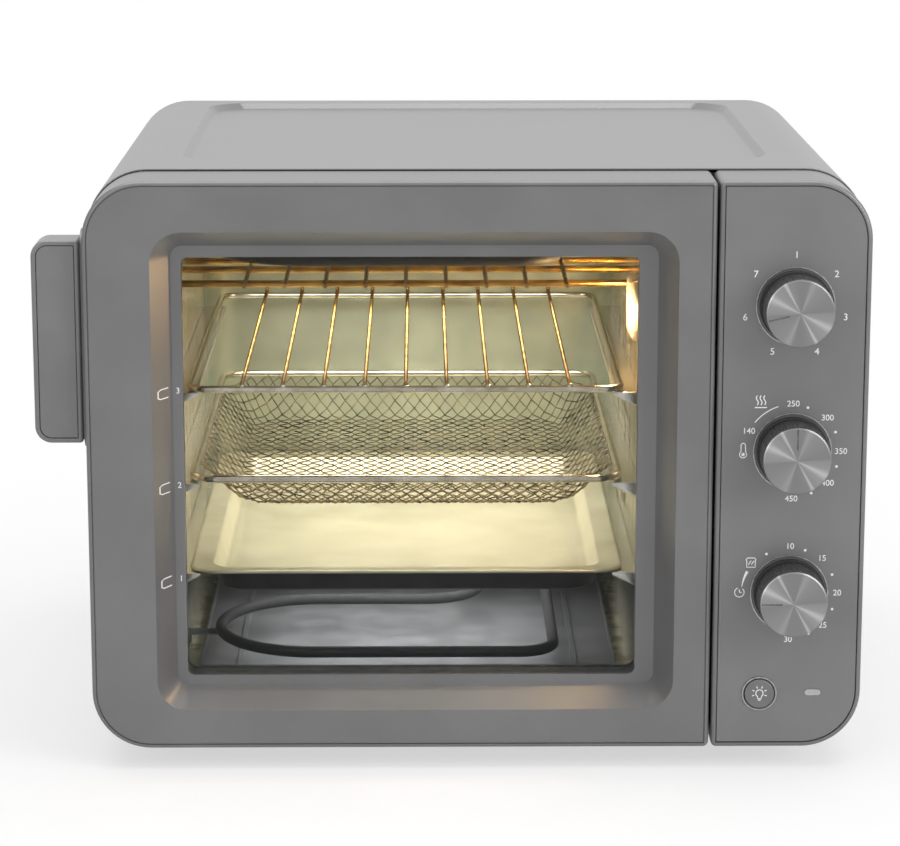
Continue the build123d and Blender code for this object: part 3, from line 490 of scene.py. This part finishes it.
# Mesh basket: woven wire pressed into a tub, ending at a rim rod.
BASKET_ROD = 2.5 * MM
NET_PITCH_X = 8.0 * MM
NET_PITCH_Y = 13.0 * MM
NET_WIRE = 0.42 * MM
NET_CORNER = 22 * MM
NET_MARGIN = 16 * MM
RIM_CORNER = 14 * MM
rim_low, rim_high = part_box("basket_rim")
floor_low, floor_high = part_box("basket_floor")
rim_z = (rim_low.z + rim_high.z) / 2
rim_box = (
    rim_low.x + BASKET_ROD, rim_high.x - BASKET_ROD, rim_low.y + BASKET_ROD, rim_high.y - BASKET_ROD,
)
wires("basket_rim_rod", [rounded_loop(*rim_box, rim_z, RIM_CORNER)], BASKET_ROD * 0.9,
      chrome_wire, "basket", ["basket_rim"], 3, True)
net_x = (floor_low.x + floor_high.x) / 2
net_y = (floor_low.y + floor_high.y) / 2
floor_half_x = (floor_high.x - floor_low.x) / 2 - 1 * MM
floor_half_y = (floor_high.y - floor_low.y) / 2 - 1 * MM
side_run = (rim_high.x - rim_low.x) / 2 - BASKET_ROD - floor_half_x
end_run = (rim_high.y - rim_low.y) / 2 - BASKET_ROD - floor_half_y
net_floor = floor_low.z + 1.0 * MM
net_rise = rim_z - net_floor


def pressed(u, v):
    """Where a point of the flat net lands once it is pressed into the basket, or None past the rim."""
    core_x = floor_half_x - NET_CORNER
    core_y = floor_half_y - NET_CORNER
    out_x = max(abs(u) - core_x, 0.0)
    out_y = max(abs(v) - core_y, 0.0)
    out = hypot(out_x, out_y)
    if out <= NET_CORNER:
        return Vector((net_x + u, net_y + v, net_floor))
    nx, ny = out_x / out, out_y / out
    run = hypot(side_run * nx, end_run * ny)
    slope = hypot(run, net_rise)
    part = (out - NET_CORNER) / slope
    if part > 1.0:
        return None
    reach_x = nx * (NET_CORNER + run * part)
    reach_y = ny * (NET_CORNER + run * part)
    x = (core_x + reach_x if out_x else abs(u)) * (1 if u >= 0 else -1)
    y = (core_y + reach_y if out_y else abs(v)) * (1 if v >= 0 else -1)
    soft = part * part * (3 - 2 * part) * 0.35 + part * 0.65
    return Vector((net_x + x, net_y + y, net_floor + net_rise * soft))


def net_paths(lean):
    """Diagonal wires of one family, waved over and under the other."""
    wide = floor_half_x + side_run + NET_MARGIN
    deep = floor_half_y + end_run + NET_MARGIN
    columns = ceil(wide / NET_PITCH_X)
    rows = ceil(deep / NET_PITCH_Y)
    paths = []
    for start in range(-columns - rows, columns + rows + 1):
        path = []
        for step in range(-2 * rows, 2 * rows + 1):
            u = (start + lean * step / 2) * NET_PITCH_X
            v = step / 2 * NET_PITCH_Y
            place = pressed(u, v) if abs(u) < wide else None
            if place is None:
                if len(path) > 1:
                    paths.append(path)
                path = []
                continue
            wave = 1 if (step % 2 == 0) == (lean > 0) else -1
            path.append(place + Vector((0, 0, wave * NET_WIRE * 0.9)))
        if len(path) > 1:
            paths.append(path)
    return paths


wires("basket_net", net_paths(1) + net_paths(-1), NET_WIRE, woven_wire, "basket",
      ["basket_walls", "basket_floor"], 0)


# Baking pan: pressed sheet with a rolled edge, champagne inside and dark grey underneath.
pan_low, pan_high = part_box("baking_pan")
PAN_CORNER = 16 * MM
PAN_SHEET = 0.8 * MM
PAN_ROLL = 0.9 * MM


def make_pan():
    """Pressed from one flat blank: rolled edge, flange, sloped sides and floor, each inside the last."""
    centre = (pan_low + pan_high) / 2
    width = pan_high.x - pan_low.x
    length = pan_high.y - pan_low.y
    bm = bmesh.new()
    bmesh.ops.create_grid(bm, x_segments=1, y_segments=1, size=0.5)
    bmesh.ops.scale(bm, vec=(width, length, 1), verts=bm.verts)
    bmesh.ops.translate(bm, vec=(centre.x, centre.y, pan_high.z - PAN_SHEET), verts=bm.verts)
    bmesh.ops.bevel(
        bm, geom=bm.verts, offset=PAN_CORNER, affect="VERTICES", segments=10, profile=0.5, material=-1,
    )
    bm.faces.ensure_lookup_table()
    blank = bm.faces[0]
    hem = bmesh.ops.extrude_edge_only(bm, edges=bm.edges[:])
    lower = [part for part in hem["geom"] if isinstance(part, bmesh.types.BMVert)]
    bmesh.ops.translate(bm, vec=(0, 0, -PAN_ROLL), verts=lower)
    flange = pan_high.z - 1.0 * MM
    floor_z = pan_low.z + 1.0 * MM
    # How far in from the edge each step of the press reaches, and its height.
    presses = (
        (0.4 * MM, pan_high.z - 0.2 * MM),
        (1.6 * MM, pan_high.z),
        (2.6 * MM, flange + 0.2 * MM),
        (11.2 * MM, flange),
        (12.6 * MM, flange - 0.8 * MM),
        (15.6 * MM, floor_z + 1.6 * MM),
        (17.6 * MM, floor_z),
    )
    middle_space = Matrix.Translation((-centre.x, -centre.y, 0))
    reached = 0.0
    for inward, z in presses:
        blank = bmesh.ops.extrude_discrete_faces(bm, faces=[blank])["faces"][0]
        narrower = (width - 2 * inward) / (width - 2 * reached)
        shorter = (length - 2 * inward) / (length - 2 * reached)
        bmesh.ops.scale(bm, vec=(narrower, shorter, 1), space=middle_space, verts=blank.verts)
        for vert in blank.verts:
            vert.co.z = z
        reached = inward
    bmesh.ops.recalc_face_normals(bm, faces=bm.faces)
    piece = finish_piece(bm, "baking_pan_shell", pan_inside, "baking_pan", 60)
    piece.data.materials.append(pan_outside)
    thick = piece.modifiers.new("sheet", "SOLIDIFY")
    thick.thickness = PAN_SHEET
    thick.offset = -1
    thick.material_offset = 1
    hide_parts("baking_pan")


make_pan()


# Knobs: knurled skirt on a plain collar painted black as painted shade, spun face with painted highlight
# wedges and a bright chamfer, and a cut pointer line.
# The knurls are drawn coarser than real ones, so that they show.
KNURLS = 84
KNURL_DEPTH = 0.5 * MM
KNURL_INSET = 0.9 * MM
KNURL_START = 0.1 * MM
COLLAR_LENGTH = 3.0 * MM
COLLAR_ROUND = 0.5 * MM
COLLAR_STEP = 0.6 * MM
FACE_GAP = 0.15 * MM
FACE_SEAT = 1.3 * MM
FACE_SEAT_WIDTH = 2 * MM
FACE_CHAMFER = 0.9 * MM
FACE_CHAMFER_DEPTH = 1.0 * MM
POINTER_WIDTH = 0.9 * MM
POINTER_THICKNESS = 0.16 * MM
POINTER_SHARE = 0.62
dial_pointers = {"function": 257.1, "temperature": 0.0, "timer": 270.0}


def make_knob_skirt(name, centre, cap_radius, front):
    """Ring of edges drawn forward step by step, with every second corner sunk where it is knurled."""
    low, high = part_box(name + "_knob")
    base_radius = (high.x - low.x) / 2
    collar_front = high.y - COLLAR_LENGTH
    steps = (
        (base_radius, high.y - COLLAR_ROUND, 0.0),
        (base_radius, collar_front + COLLAR_STEP, 0.0),
        (base_radius - COLLAR_ROUND, collar_front, 0.0),
        (base_radius - KNURL_INSET, collar_front - KNURL_START, KNURL_DEPTH),
        (cap_radius + FACE_GAP, front + FACE_SEAT + KNURL_START, KNURL_DEPTH),
        (cap_radius - FACE_SEAT_WIDTH, front + FACE_SEAT, 0.0),
    )
    bm = bmesh.new()
    turn = Matrix.Translation((centre.x, high.y, centre.z)) @ Matrix.Rotation(radians(90), 4, "X")
    bmesh.ops.create_circle(
        bm, cap_ends=False, radius=base_radius - COLLAR_STEP, segments=2 * KNURLS, matrix=turn,
    )
    rim = bm.edges[:]
    for radius, y, groove in steps:
        grown = bmesh.ops.extrude_edge_only(bm, edges=rim)["geom"]
        rim = [part for part in grown if isinstance(part, bmesh.types.BMEdge)]
        for vert in (part for part in grown if isinstance(part, bmesh.types.BMVert)):
            angle = atan2(vert.co.z - centre.z, vert.co.x - centre.x)
            tooth = round(angle * KNURLS / pi) % 2
            reach = radius - groove * tooth
            vert.co = (centre.x + reach * cos(angle), y, centre.z + reach * sin(angle))
    bmesh.ops.holes_fill(bm, edges=[edge for edge in bm.edges if edge.is_boundary])
    bmesh.ops.recalc_face_normals(bm, faces=bm.faces)
    # Collar faces take the black paint: painted shade of the gap at the knob's foot.
    for face in bm.faces:
        on_collar = face.calc_center_median().y > collar_front - KNURL_START / 2
        face.material_index = 1 if on_collar else 0
    skirt = finish_piece(bm, name + "_knob_skirt", knurled_metal, name + "_dial", 20)
    skirt.data.materials.append(black_paint_and_collar_shade)
    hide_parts(name + "_knob")


def make_knob_face(name, centre, cap_radius, cap_low, cap_high):
    """Half section of the disc, spun round the dial's axis."""
    front = cap_low.y
    outline = (
        (0.0, front),
        (cap_radius - FACE_CHAMFER, front),
        (cap_radius - 0.25 * MM, front + FACE_CHAMFER / 2),
        (cap_radius, front + FACE_CHAMFER_DEPTH),
        (cap_radius, cap_high.y),
        (0.0, cap_high.y),
    )
    bm = bmesh.new()
    chain = [bm.verts.new(centre + Vector((reach, y, 0))) for reach, y in outline]
    edges = [bm.edges.new(pair) for pair in zip(chain, chain[1:])]
    bmesh.ops.spin(
        bm, geom=chain + edges, cent=centre, axis=(0, 1, 0), angle=2 * pi, steps=96,
        use_merge=True, use_duplicate=False,
    )
    bmesh.ops.remove_doubles(bm, verts=bm.verts, dist=1e-6)
    bmesh.ops.recalc_face_normals(bm, faces=bm.faces)
    cap = finish_piece(bm, name + "_knob_face", knob_face, name + "_dial", 15)
    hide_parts(name + "_knob_cap")


def make_pointer(name, centre, cap_radius, front, degrees):
    """Thin bar near the rim of the face, turned to the mark it points at."""
    length = cap_radius * POINTER_SHARE
    turn = Matrix.Rotation(radians(degrees), 3, "Y")
    bm = bmesh.new()
    bmesh.ops.create_cube(bm, size=1.0)
    bmesh.ops.scale(bm, vec=(POINTER_WIDTH, POINTER_THICKNESS, length), verts=bm.verts)
    bmesh.ops.translate(bm, vec=(0, 0, cap_radius - length / 2 - FACE_CHAMFER), verts=bm.verts)
    bmesh.ops.rotate(bm, cent=(0, 0, 0), matrix=turn, verts=bm.verts)
    bmesh.ops.translate(bm, vec=centre + Vector((0, front + 0.03 * MM, 0)), verts=bm.verts)
    bmesh.ops.bevel(
        bm, geom=bm.edges, offset=0.05 * MM, affect="EDGES", segments=2, profile=0.5, material=-1,
    )
    finish_piece(bm, name + "_pointer", knurled_metal, name + "_dial")


def make_knob(name, degrees):
    low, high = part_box(name + "_knob")
    cap_low, cap_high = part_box(name + "_knob_cap")
    centre = Vector(((low.x + high.x) / 2, 0, (low.z + high.z) / 2))
    cap_radius = (cap_high.x - cap_low.x) / 2
    make_knob_skirt(name, centre, cap_radius, cap_low.y)
    make_knob_face(name, centre, cap_radius, cap_low, cap_high)
    make_pointer(name, centre, cap_radius, cap_low.y, degrees)


for dial, pointer in dial_pointers.items():
    make_knob(dial, pointer)


# Printed marks. Each is a thin skin of ink just proud of the panel.
INK = 0.06 * MM
STROKE = 0.5 * MM
FINE_STROKE = 0.45 * MM
DOT_RADIUS = 0.75 * MM


def ink_text(name, words, x, z, y, size, body="casing"):
    """Generic number or letter, made a mesh and laid on a front face."""
    curve = bpy.data.curves.new(name, "FONT")
    curve.body = words
    curve.size = size
    curve.align_x = "CENTER"
    curve.align_y = "CENTER"
    curve.extrude = INK / 2
    curve.offset = 0.006 * size
    holder = bpy.data.objects.new(name + "_text", curve)
    bpy.context.scene.collection.objects.link(holder)
    shaped = holder.evaluated_get(bpy.context.evaluated_depsgraph_get())
    bm = bmesh.new()
    bm.from_mesh(bpy.data.meshes.new_from_object(shaped))
    bpy.data.objects.remove(holder)
    bmesh.ops.remove_doubles(bm, verts=bm.verts, dist=1e-7)
    bmesh.ops.rotate(bm, cent=(0, 0, 0), matrix=Matrix.Rotation(radians(90), 3, "X"), verts=bm.verts)
    bmesh.ops.translate(bm, vec=(x, y - INK / 2, z), verts=bm.verts)
    return finish_piece(bm, name, white_ink, body)


def ink_disc(bm, x, z, y, radius):
    spot = Matrix.Translation((x, y, z)) @ Matrix.Rotation(radians(90), 4, "X")
    bmesh.ops.create_circle(bm, cap_ends=True, radius=radius, segments=20, matrix=spot)


def ink_line(bm, points, widths, y, closed=False):
    """Flat stroke through points in X and Z, with a width at each point."""
    pairs = []
    count = len(points)
    for index, (x, z) in enumerate(points):
        before = points[index - 1] if index or closed else points[index]
        after = points[(index + 1) % count] if index + 1 < count or closed else points[index]
        along = Vector((after[0] - before[0], 0, after[1] - before[1])).normalized()
        side = Vector((-along.z, 0, along.x)) * widths[index] / 2
        place = Vector((x, y, z))
        pairs.append((bm.verts.new(place + side), bm.verts.new(place - side)))
    links = list(zip(pairs, pairs[1:])) + ([(pairs[-1], pairs[0])] if closed else [])
    for (a, b), (c, d) in links:
        bm.faces.new((a, c, d, b))


def ink_stroke(bm, points, y, closed=False, width=STROKE):
    """Flat stroke of one width."""
    ink_line(bm, points, [width] * len(points), y, closed)


def ink_piece(bm, name, body="casing"):
    """Gives flat strokes the thickness of the ink."""
    for face in bm.faces:
        face.normal_update()
        if face.normal.y > 0:
            face.normal_flip()
    faces = bmesh.ops.extrude_face_region(bm, geom=bm.faces[:])
    lifted = [g for g in faces["geom"] if isinstance(g, bmesh.types.BMVert)]
    bmesh.ops.translate(bm, vec=(0, -INK, 0), verts=lifted)
    bmesh.ops.recalc_face_normals(bm, faces=bm.faces)
    return finish_piece(bm, name, white_ink, body)


def dial_centre(name):
    low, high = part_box(name + "_knob")
    return (low.x + high.x) / 2, (low.z + high.z) / 2


def polar(centre, degrees, reach):
    """Point at a clock angle from the top and a distance from a dial's middle."""
    turn = radians(degrees)
    return centre[0] + reach * sin(turn), centre[1] + reach * cos(turn)


FUNCTION_MARKS = 7
FUNCTION_REACH = 27.5 * MM
NUMBER_REACH = 26.2 * MM
DOT_REACH = 25.4 * MM
ARC_REACH = 26 * MM
FUNCTION_SIZE = 5.2 * MM
NUMBER_SIZE = 4.6 * MM

face_y = face_low.y
function_centre = dial_centre("function")
for index in range(FUNCTION_MARKS):
    mark_x, mark_z = polar(function_centre, index * 360 / FUNCTION_MARKS, FUNCTION_REACH)
    ink_text(f"function_mark_{index + 1}", str(index + 1), mark_x, mark_z, face_y, FUNCTION_SIZE)

temperature_centre = dial_centre("temperature")
temperatures = ((-64.5, "140"), (0, "250"), (45, "300"), (90, "350"), (132, "400"), (180, "450"))
timer_centre = dial_centre("timer")
minutes = ((0, "10"), (42, "15"), (90, "20"), (134, "25"), (180, "30"))
for dial, centre, scale in (
    ("temperature", temperature_centre, temperatures), ("timer", timer_centre, minutes),
):
    for angle, words in scale:
        mark_x, mark_z = polar(centre, angle, NUMBER_REACH)
        ink_text(f"{dial}_mark_{words}", words, mark_x, mark_z, face_y, NUMBER_SIZE)

temperature_dots = (18, 65, 109, 155)
timer_dots = (-30, 19, 66, 111, 154)
bm = bmesh.new()
for centre, angles in ((temperature_centre, temperature_dots), (timer_centre, timer_dots)):
    for angle in angles:
        ink_disc(bm, *polar(centre, angle, DOT_REACH), face_y, DOT_RADIUS)
ink_piece(bm, "dial_dots")

# An even arc by the temperature dial, and one by the timer that grows thicker.
bm = bmesh.new()
even_arc = [polar(temperature_centre, -52 + 34 * step / 14, ARC_REACH) for step in range(15)]
ink_stroke(bm, even_arc, face_y)
growing_arc = [polar(timer_centre, -82 + 20 * step / 10, ARC_REACH) for step in range(11)]
ink_line(bm, growing_arc, [(0.35 + 0.12 * step) * MM for step in range(11)], face_y)
ink_piece(bm, "dial_arcs")


def heat_icon(bm, x, z):
    """Three rising waves over a bar."""
    wave_pitch = 2.0 * MM
    wave_swing = 0.55 * MM
    wave_height = 5.2 * MM
    wave_foot = z - 1.2 * MM
    for column in (-1, 0, 1):
        wave = []
        for step in range(13):
            rise = step / 12
            swing = wave_swing * sin(rise * 2 * pi)
            wave.append((x + column * wave_pitch + swing, wave_foot + wave_height * rise))
        ink_stroke(bm, wave, face_y, width=0.55 * MM)
    bar_half = 3.3 * MM
    bar_z = z - 2.6 * MM
    ink_stroke(bm, [(x - bar_half, bar_z), (x + bar_half, bar_z)], face_y, width=0.6 * MM)


def thermometer_icon(bm, x, z):
    """Round-ended tube with a bulb."""
    bulb = (x, z - 2.0 * MM)
    tube_end = (x, z + 3.0 * MM)
    ink_disc(bm, *bulb, face_y, 0.95 * MM)
    outline = [polar(bulb, 180 - angle, 1.9 * MM) for angle in range(-142, 143, 12)]
    outline += [polar(tube_end, 90 - angle, 1.15 * MM) for angle in range(0, 181, 20)]
    ink_stroke(bm, outline, face_y, True)


def toast_icon(bm, x, z):
    """Slice of bread with two strokes."""
    half_slice = ((2.3, -2.4), (2.3, 1.0), (2.7, 2.0), (1.8, 2.8))
    right = [(x + across * MM, z + up * MM) for across, up in half_slice]
    left = [(x - across * MM, z + up * MM) for across, up in reversed(half_slice)]
    ink_stroke(bm, left[-1:] + right + left[:-1], face_y, True)
    for shift in (-0.9, 0.7):
        low_end = (x + (shift - 0.5) * MM, z - 1.0 * MM)
        high_end = (x + (shift + 0.9) * MM, z + 1.2 * MM)
        ink_stroke(bm, [low_end, high_end], face_y, width=FINE_STROKE)


def clock_icon(bm, x, z):
    """Open ring with two hands."""
    ink_stroke(bm, [polar((x, z), angle, 2.6 * MM) for angle in range(40, 341, 15)], face_y)
    ink_stroke(bm, [(x, z), (x, z + 1.7 * MM)], face_y)
    ink_stroke(bm, [(x, z), (x + 1.3 * MM, z)], face_y)


icons = (
    ("keep_warm_mark", heat_icon, temperature_centre, -33, 32 * MM),
    ("thermometer_mark", thermometer_icon, temperature_centre, -89, 26.5 * MM),
    ("toast_mark", toast_icon, timer_centre, -51, 27 * MM),
    ("clock_mark", clock_icon, timer_centre, -89, 27 * MM),
)
for mark, draw_icon, centre, angle, reach in icons:
    bm = bmesh.new()
    draw_icon(bm, *polar(centre, angle, reach))
    ink_piece(bm, mark)


def bulb_icon():
    """Lamp with rays, printed on the light button."""
    low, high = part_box("lamp_button")
    x = (low.x + high.x) / 2
    z = (low.z + high.z) / 2
    y = low.y
    glass = (x, z + 0.4 * MM)
    neck_half = 0.9 * MM
    neck_z = z - 2.6 * MM
    base_half = 0.8 * MM
    base_z = z - 3.4 * MM
    bm = bmesh.new()
    outline = [polar(glass, angle, 2.0 * MM) for angle in range(-145, 146, 15)]
    outline += [(x + neck_half, neck_z), (x - neck_half, neck_z)]
    ink_stroke(bm, outline, y, True)
    ink_stroke(bm, [(x - base_half, base_z), (x + base_half, base_z)], y)
    for angle in (-110, -65, -22, 22, 65, 110):
        ink_stroke(bm, [polar(glass, angle, 3.0 * MM), polar(glass, angle, 4.3 * MM)], y)
    ink_piece(bm, "lamp_mark", "lamp_button")


bulb_icon()

# Shelf marks on the sloped edge and lip at the left of the window.
SLOPE_START = 35.6 * MM
SLOPE_WIDTH = 10 * MM
SLOPE_DEPTH = 18 * MM


def slope_depth_at(x):
    """How far back the door's left slope or lip lies at x."""
    along = (x - door_low.x - SLOPE_START) / SLOPE_WIDTH
    return front_y + min(max(along, 0.0), 1.0) * SLOPE_DEPTH


def shelf_marks():
    """A bracket on the slope and a number on the lip for each level of the rails."""
    rail_low, rail_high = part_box("rack_rails")
    first_rail = rail_low.z + 7 * MM
    rise = (rail_high.z - first_rail) / 2
    mark_heights = [first_rail + level * rise + 8.6 * MM for level in range(3)]
    left = door_low.x + SLOPE_START + 3.2 * MM
    right = left + 4.8 * MM
    bend = left + 1.2 * MM
    bm = bmesh.new()
    for z in mark_heights:
        top = z + 2.6 * MM
        bottom = z - 2.6 * MM
        points = [(right, top), (bend, top), (left, z + 1.8 * MM),
                  (left, z - 1.8 * MM), (bend, bottom), (right, bottom)]
        ink_stroke(bm, points, 0.0, width=0.6 * MM)
    for vert in bm.verts:
        vert.co.y = slope_depth_at(vert.co.x)
    ink_piece(bm, "shelf_brackets", "door")
    number_x = door_low.x + SLOPE_START + SLOPE_WIDTH + 2.9 * MM
    for level, z in enumerate(mark_heights, 1):
        ink_text(f"shelf_number_{level}", str(level), number_x, z, front_y + SLOPE_DEPTH, NUMBER_SIZE,
                 "door")


shelf_marks()


# Round-headed screws on the back panel and beside the heater clips.
SCREW = 3.2 * MM
CLIP_SCREW = 2.6 * MM
SCREW_INSET = 14 * MM
CORNER_INSET = 8 * MM


def screw(bm, place, axis, radius):
    """Low round head with a sunk middle, facing along an axis."""
    spot = Matrix.Translation(place) @ Vector(axis).to_track_quat("Z", "Y").to_matrix().to_4x4()
    head = bmesh.ops.create_circle(bm, cap_ends=True, radius=radius, segments=20, matrix=spot)
    face = head["verts"][0].link_faces[0]
    lifted = bmesh.ops.extrude_face_region(bm, geom=[face])
    verts = [part for part in lifted["geom"] if isinstance(part, bmesh.types.BMVert)]
    bmesh.ops.translate(bm, vec=Vector(axis) * radius * 0.45, verts=verts)
    top = [part for part in lifted["geom"] if isinstance(part, bmesh.types.BMFace)]
    bmesh.ops.inset_region(bm, faces=top, thickness=radius * 0.25, depth=radius * 0.12)


rear_middle_z = (rear_low.z + rear_high.z) / 2
bm = bmesh.new()
for screw_x in (rear_low.x + SCREW_INSET, 0.0, rear_high.x - SCREW_INSET):
    for screw_z in (rear_low.z + SCREW_INSET, rear_high.z - SCREW_INSET):
        inward = CORNER_INSET if screw_x else 0.0
        sign = -1 if screw_z > rear_middle_z else 1
        screw(bm, (screw_x, rear_high.y - 0.2 * MM, screw_z + sign * inward), (0, 1, 0), SCREW)
bmesh.ops.recalc_face_normals(bm, faces=bm.faces)
finish_piece(bm, "rear_screws", bright_steel, "casing")

clips_low, clips_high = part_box("heater_clips")
clip_y = (clips_low.y + clips_high.y) / 2
bm = bmesh.new()
for heater in ("lower_heater", "upper_heater"):
    clip_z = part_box(heater)[0].z - 4.5 * MM
    screw(bm, (wall_high.x + 0.9 * MM, clip_y, clip_z), (1, 0, 0), CLIP_SCREW)
bmesh.ops.recalc_face_normals(bm, faces=bm.faces)
finish_piece(bm, "clip_screws", bright_steel, "casing")


# Floor, backdrop, lights and camera.
FLOOR_HALF = 6.0
FADE_START = 0.2
FADE_END = 0.7
SHADOW_SHARE = 0.6
SKY_STRENGTH = 0.42


def bright_rays(tree):
    """1 for the rays that should find plain white: the camera's, those through glass and reflections."""
    path = node(tree, "LightPath")
    seen = node(tree, "Math", {"operation": "MAXIMUM"}, i0=path.outputs["Is Camera Ray"],
                i1=path.outputs["Is Transmission Ray"])
    shown = node(tree, "Math", {"operation": "MAXIMUM"}, i0=seen.outputs[0], i1=path.outputs["Is Glossy Ray"])
    return shown.outputs[0]


def floor_material():
    """Plain pale floor: it fades to white away from the oven, and keeps the shadow near it."""
    material, tree = new_material("pale_floor")
    lit = node(tree, "BsdfDiffuse", Color=linear("ececec"))
    white = node(tree, "Emission", Color=(1, 1, 1, 1), Strength=1.0)
    place = node(tree, "TexCoord").outputs["Object"]
    away = node(tree, "VectorMath", {"operation": "LENGTH"}, i0=place)
    fade = node(tree, "MapRange", {"interpolation_type": "SMOOTHSTEP"}, Value=away.outputs["Value"],
                From_Min=FADE_START, From_Max=FADE_END, To_Min=SHADOW_SHARE, To_Max=1.0)
    share = node(tree, "Math", {"operation": "MULTIPLY"}, i0=bright_rays(tree), i1=fade.outputs[0])
    mix = node(tree, "MixShader", i0=share.outputs[0], i1=lit.outputs[0], i2=white.outputs[0])
    tree.links.new(mix.outputs[0], node(tree, "OutputMaterial").inputs[0])
    return material


bm = bmesh.new()
bmesh.ops.create_grid(bm, x_segments=1, y_segments=1, size=FLOOR_HALF)
floor_mesh = bpy.data.meshes.new("floor")
bm.to_mesh(floor_mesh)
bm.free()
floor_mesh.materials.append(floor_material())
floor = bpy.data.objects.new("floor", floor_mesh)
bpy.context.scene.collection.objects.link(floor)

world = bpy.data.worlds.new("studio")
bpy.context.scene.world = world
world.use_nodes = True
world_tree = world.node_tree
world_tree.nodes.clear()
soft = node(world_tree, "Background", Color=(0.9, 0.9, 0.9, 1), Strength=SKY_STRENGTH)
white = node(world_tree, "Background", Color=(1, 1, 1, 1), Strength=1.0)
sky = node(world_tree, "MixShader", i0=bright_rays(world_tree), i1=soft.outputs[0], i2=white.outputs[0])
world_tree.links.new(sky.outputs[0], node(world_tree, "OutputWorld").inputs[0])


def soft_light(name, place, target, width, height, power, colour="ffffff", spread=180, mirrored=True):
    """Rectangular light panel that faces a target, spreads over so many degrees, and may show in mirrors."""
    data = bpy.data.lights.new(name, "AREA")
    data.shape = "RECTANGLE"
    data.size = width
    data.size_y = height
    data.energy = power
    data.color = linear(colour)[:3]
    data.spread = radians(spread)
    light = bpy.data.objects.new(name, data)
    light.location = place
    light.rotation_euler = (Vector(target) - Vector(place)).to_track_quat("-Z", "Y").to_euler()
    light.visible_glossy = mirrored
    light.visible_camera = False
    bpy.context.scene.collection.objects.link(light)


middle = (0.0, 0.0, 0.17)
soft_light("overhead_panel", (0.0, 0.0, 1.9), middle, width=2.2, height=1.8, power=33)
soft_light("front_left_panel", (-1.5, -1.7, 1.1), middle, width=1.2, height=1.6, power=9)
soft_light("front_right_panel", (1.7, -1.3, 1.0), middle, width=0.9, height=1.4, power=21)

# The oven's own lamp, and the light that the bright walls throw down on each level.
lamp_low, lamp_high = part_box("lamp_lens")
lamp_spot = (lamp_low.x - 3 * MM, (lamp_low.y + lamp_high.y) / 2, (lamp_low.z + lamp_high.z) / 2)
soft_light("oven_lamp", lamp_spot, (wall_high.x, 0.05, 0.1), width=0.03, height=0.02, power=0.5,
           colour="ffd090")
cavity_x = (wall_high.x + right_low.x) / 2
FILL_HEIGHT = 0.243
UNDER = 2 * MM
soft_light("oven_fill", (cavity_x, 0.04, FILL_HEIGHT), (cavity_x, 0.04, 0.0), width=0.2, height=0.2,
           power=1.1, colour="fffaf0", spread=130)
soft_light("pan_fill", (cavity_x, 0.02, floor_low.z - UNDER), (cavity_x, 0.02, 0.0), width=0.2, height=0.2,
           power=0.13, colour="fffaf0", spread=150, mirrored=False)
soft_light("tray_fill", (cavity_x, 0.0, pan_low.z - UNDER), (cavity_x, 0.0, 0.0), width=0.16, height=0.14,
           power=0.7, spread=150, mirrored=False)

CAMERA_LENS = 126.0
CAMERA_SENSOR = 36.0
CAMERA_DISTANCE = 1.650
CAMERA_HEIGHT = 0.5567
CAMERA_LEFT = 0.0305
AIM_LEFT = 0.0146
AIM_HEIGHT = 0.1945
camera_data = bpy.data.cameras.new("camera")
camera_data.lens = CAMERA_LENS
camera_data.sensor_width = CAMERA_SENSOR
camera = bpy.data.objects.new("camera", camera_data)
camera.location = (fascia_middle - CAMERA_LEFT, front_y - CAMERA_DISTANCE, CAMERA_HEIGHT)
aim = Vector((fascia_middle - AIM_LEFT, front_y, AIM_HEIGHT))
camera.rotation_euler = (aim - camera.location).to_track_quat("-Z", "Y").to_euler()
bpy.context.scene.collection.objects.link(camera)
bpy.context.scene.camera = camera
bpy.context.scene.view_settings.view_transform = "Standard"
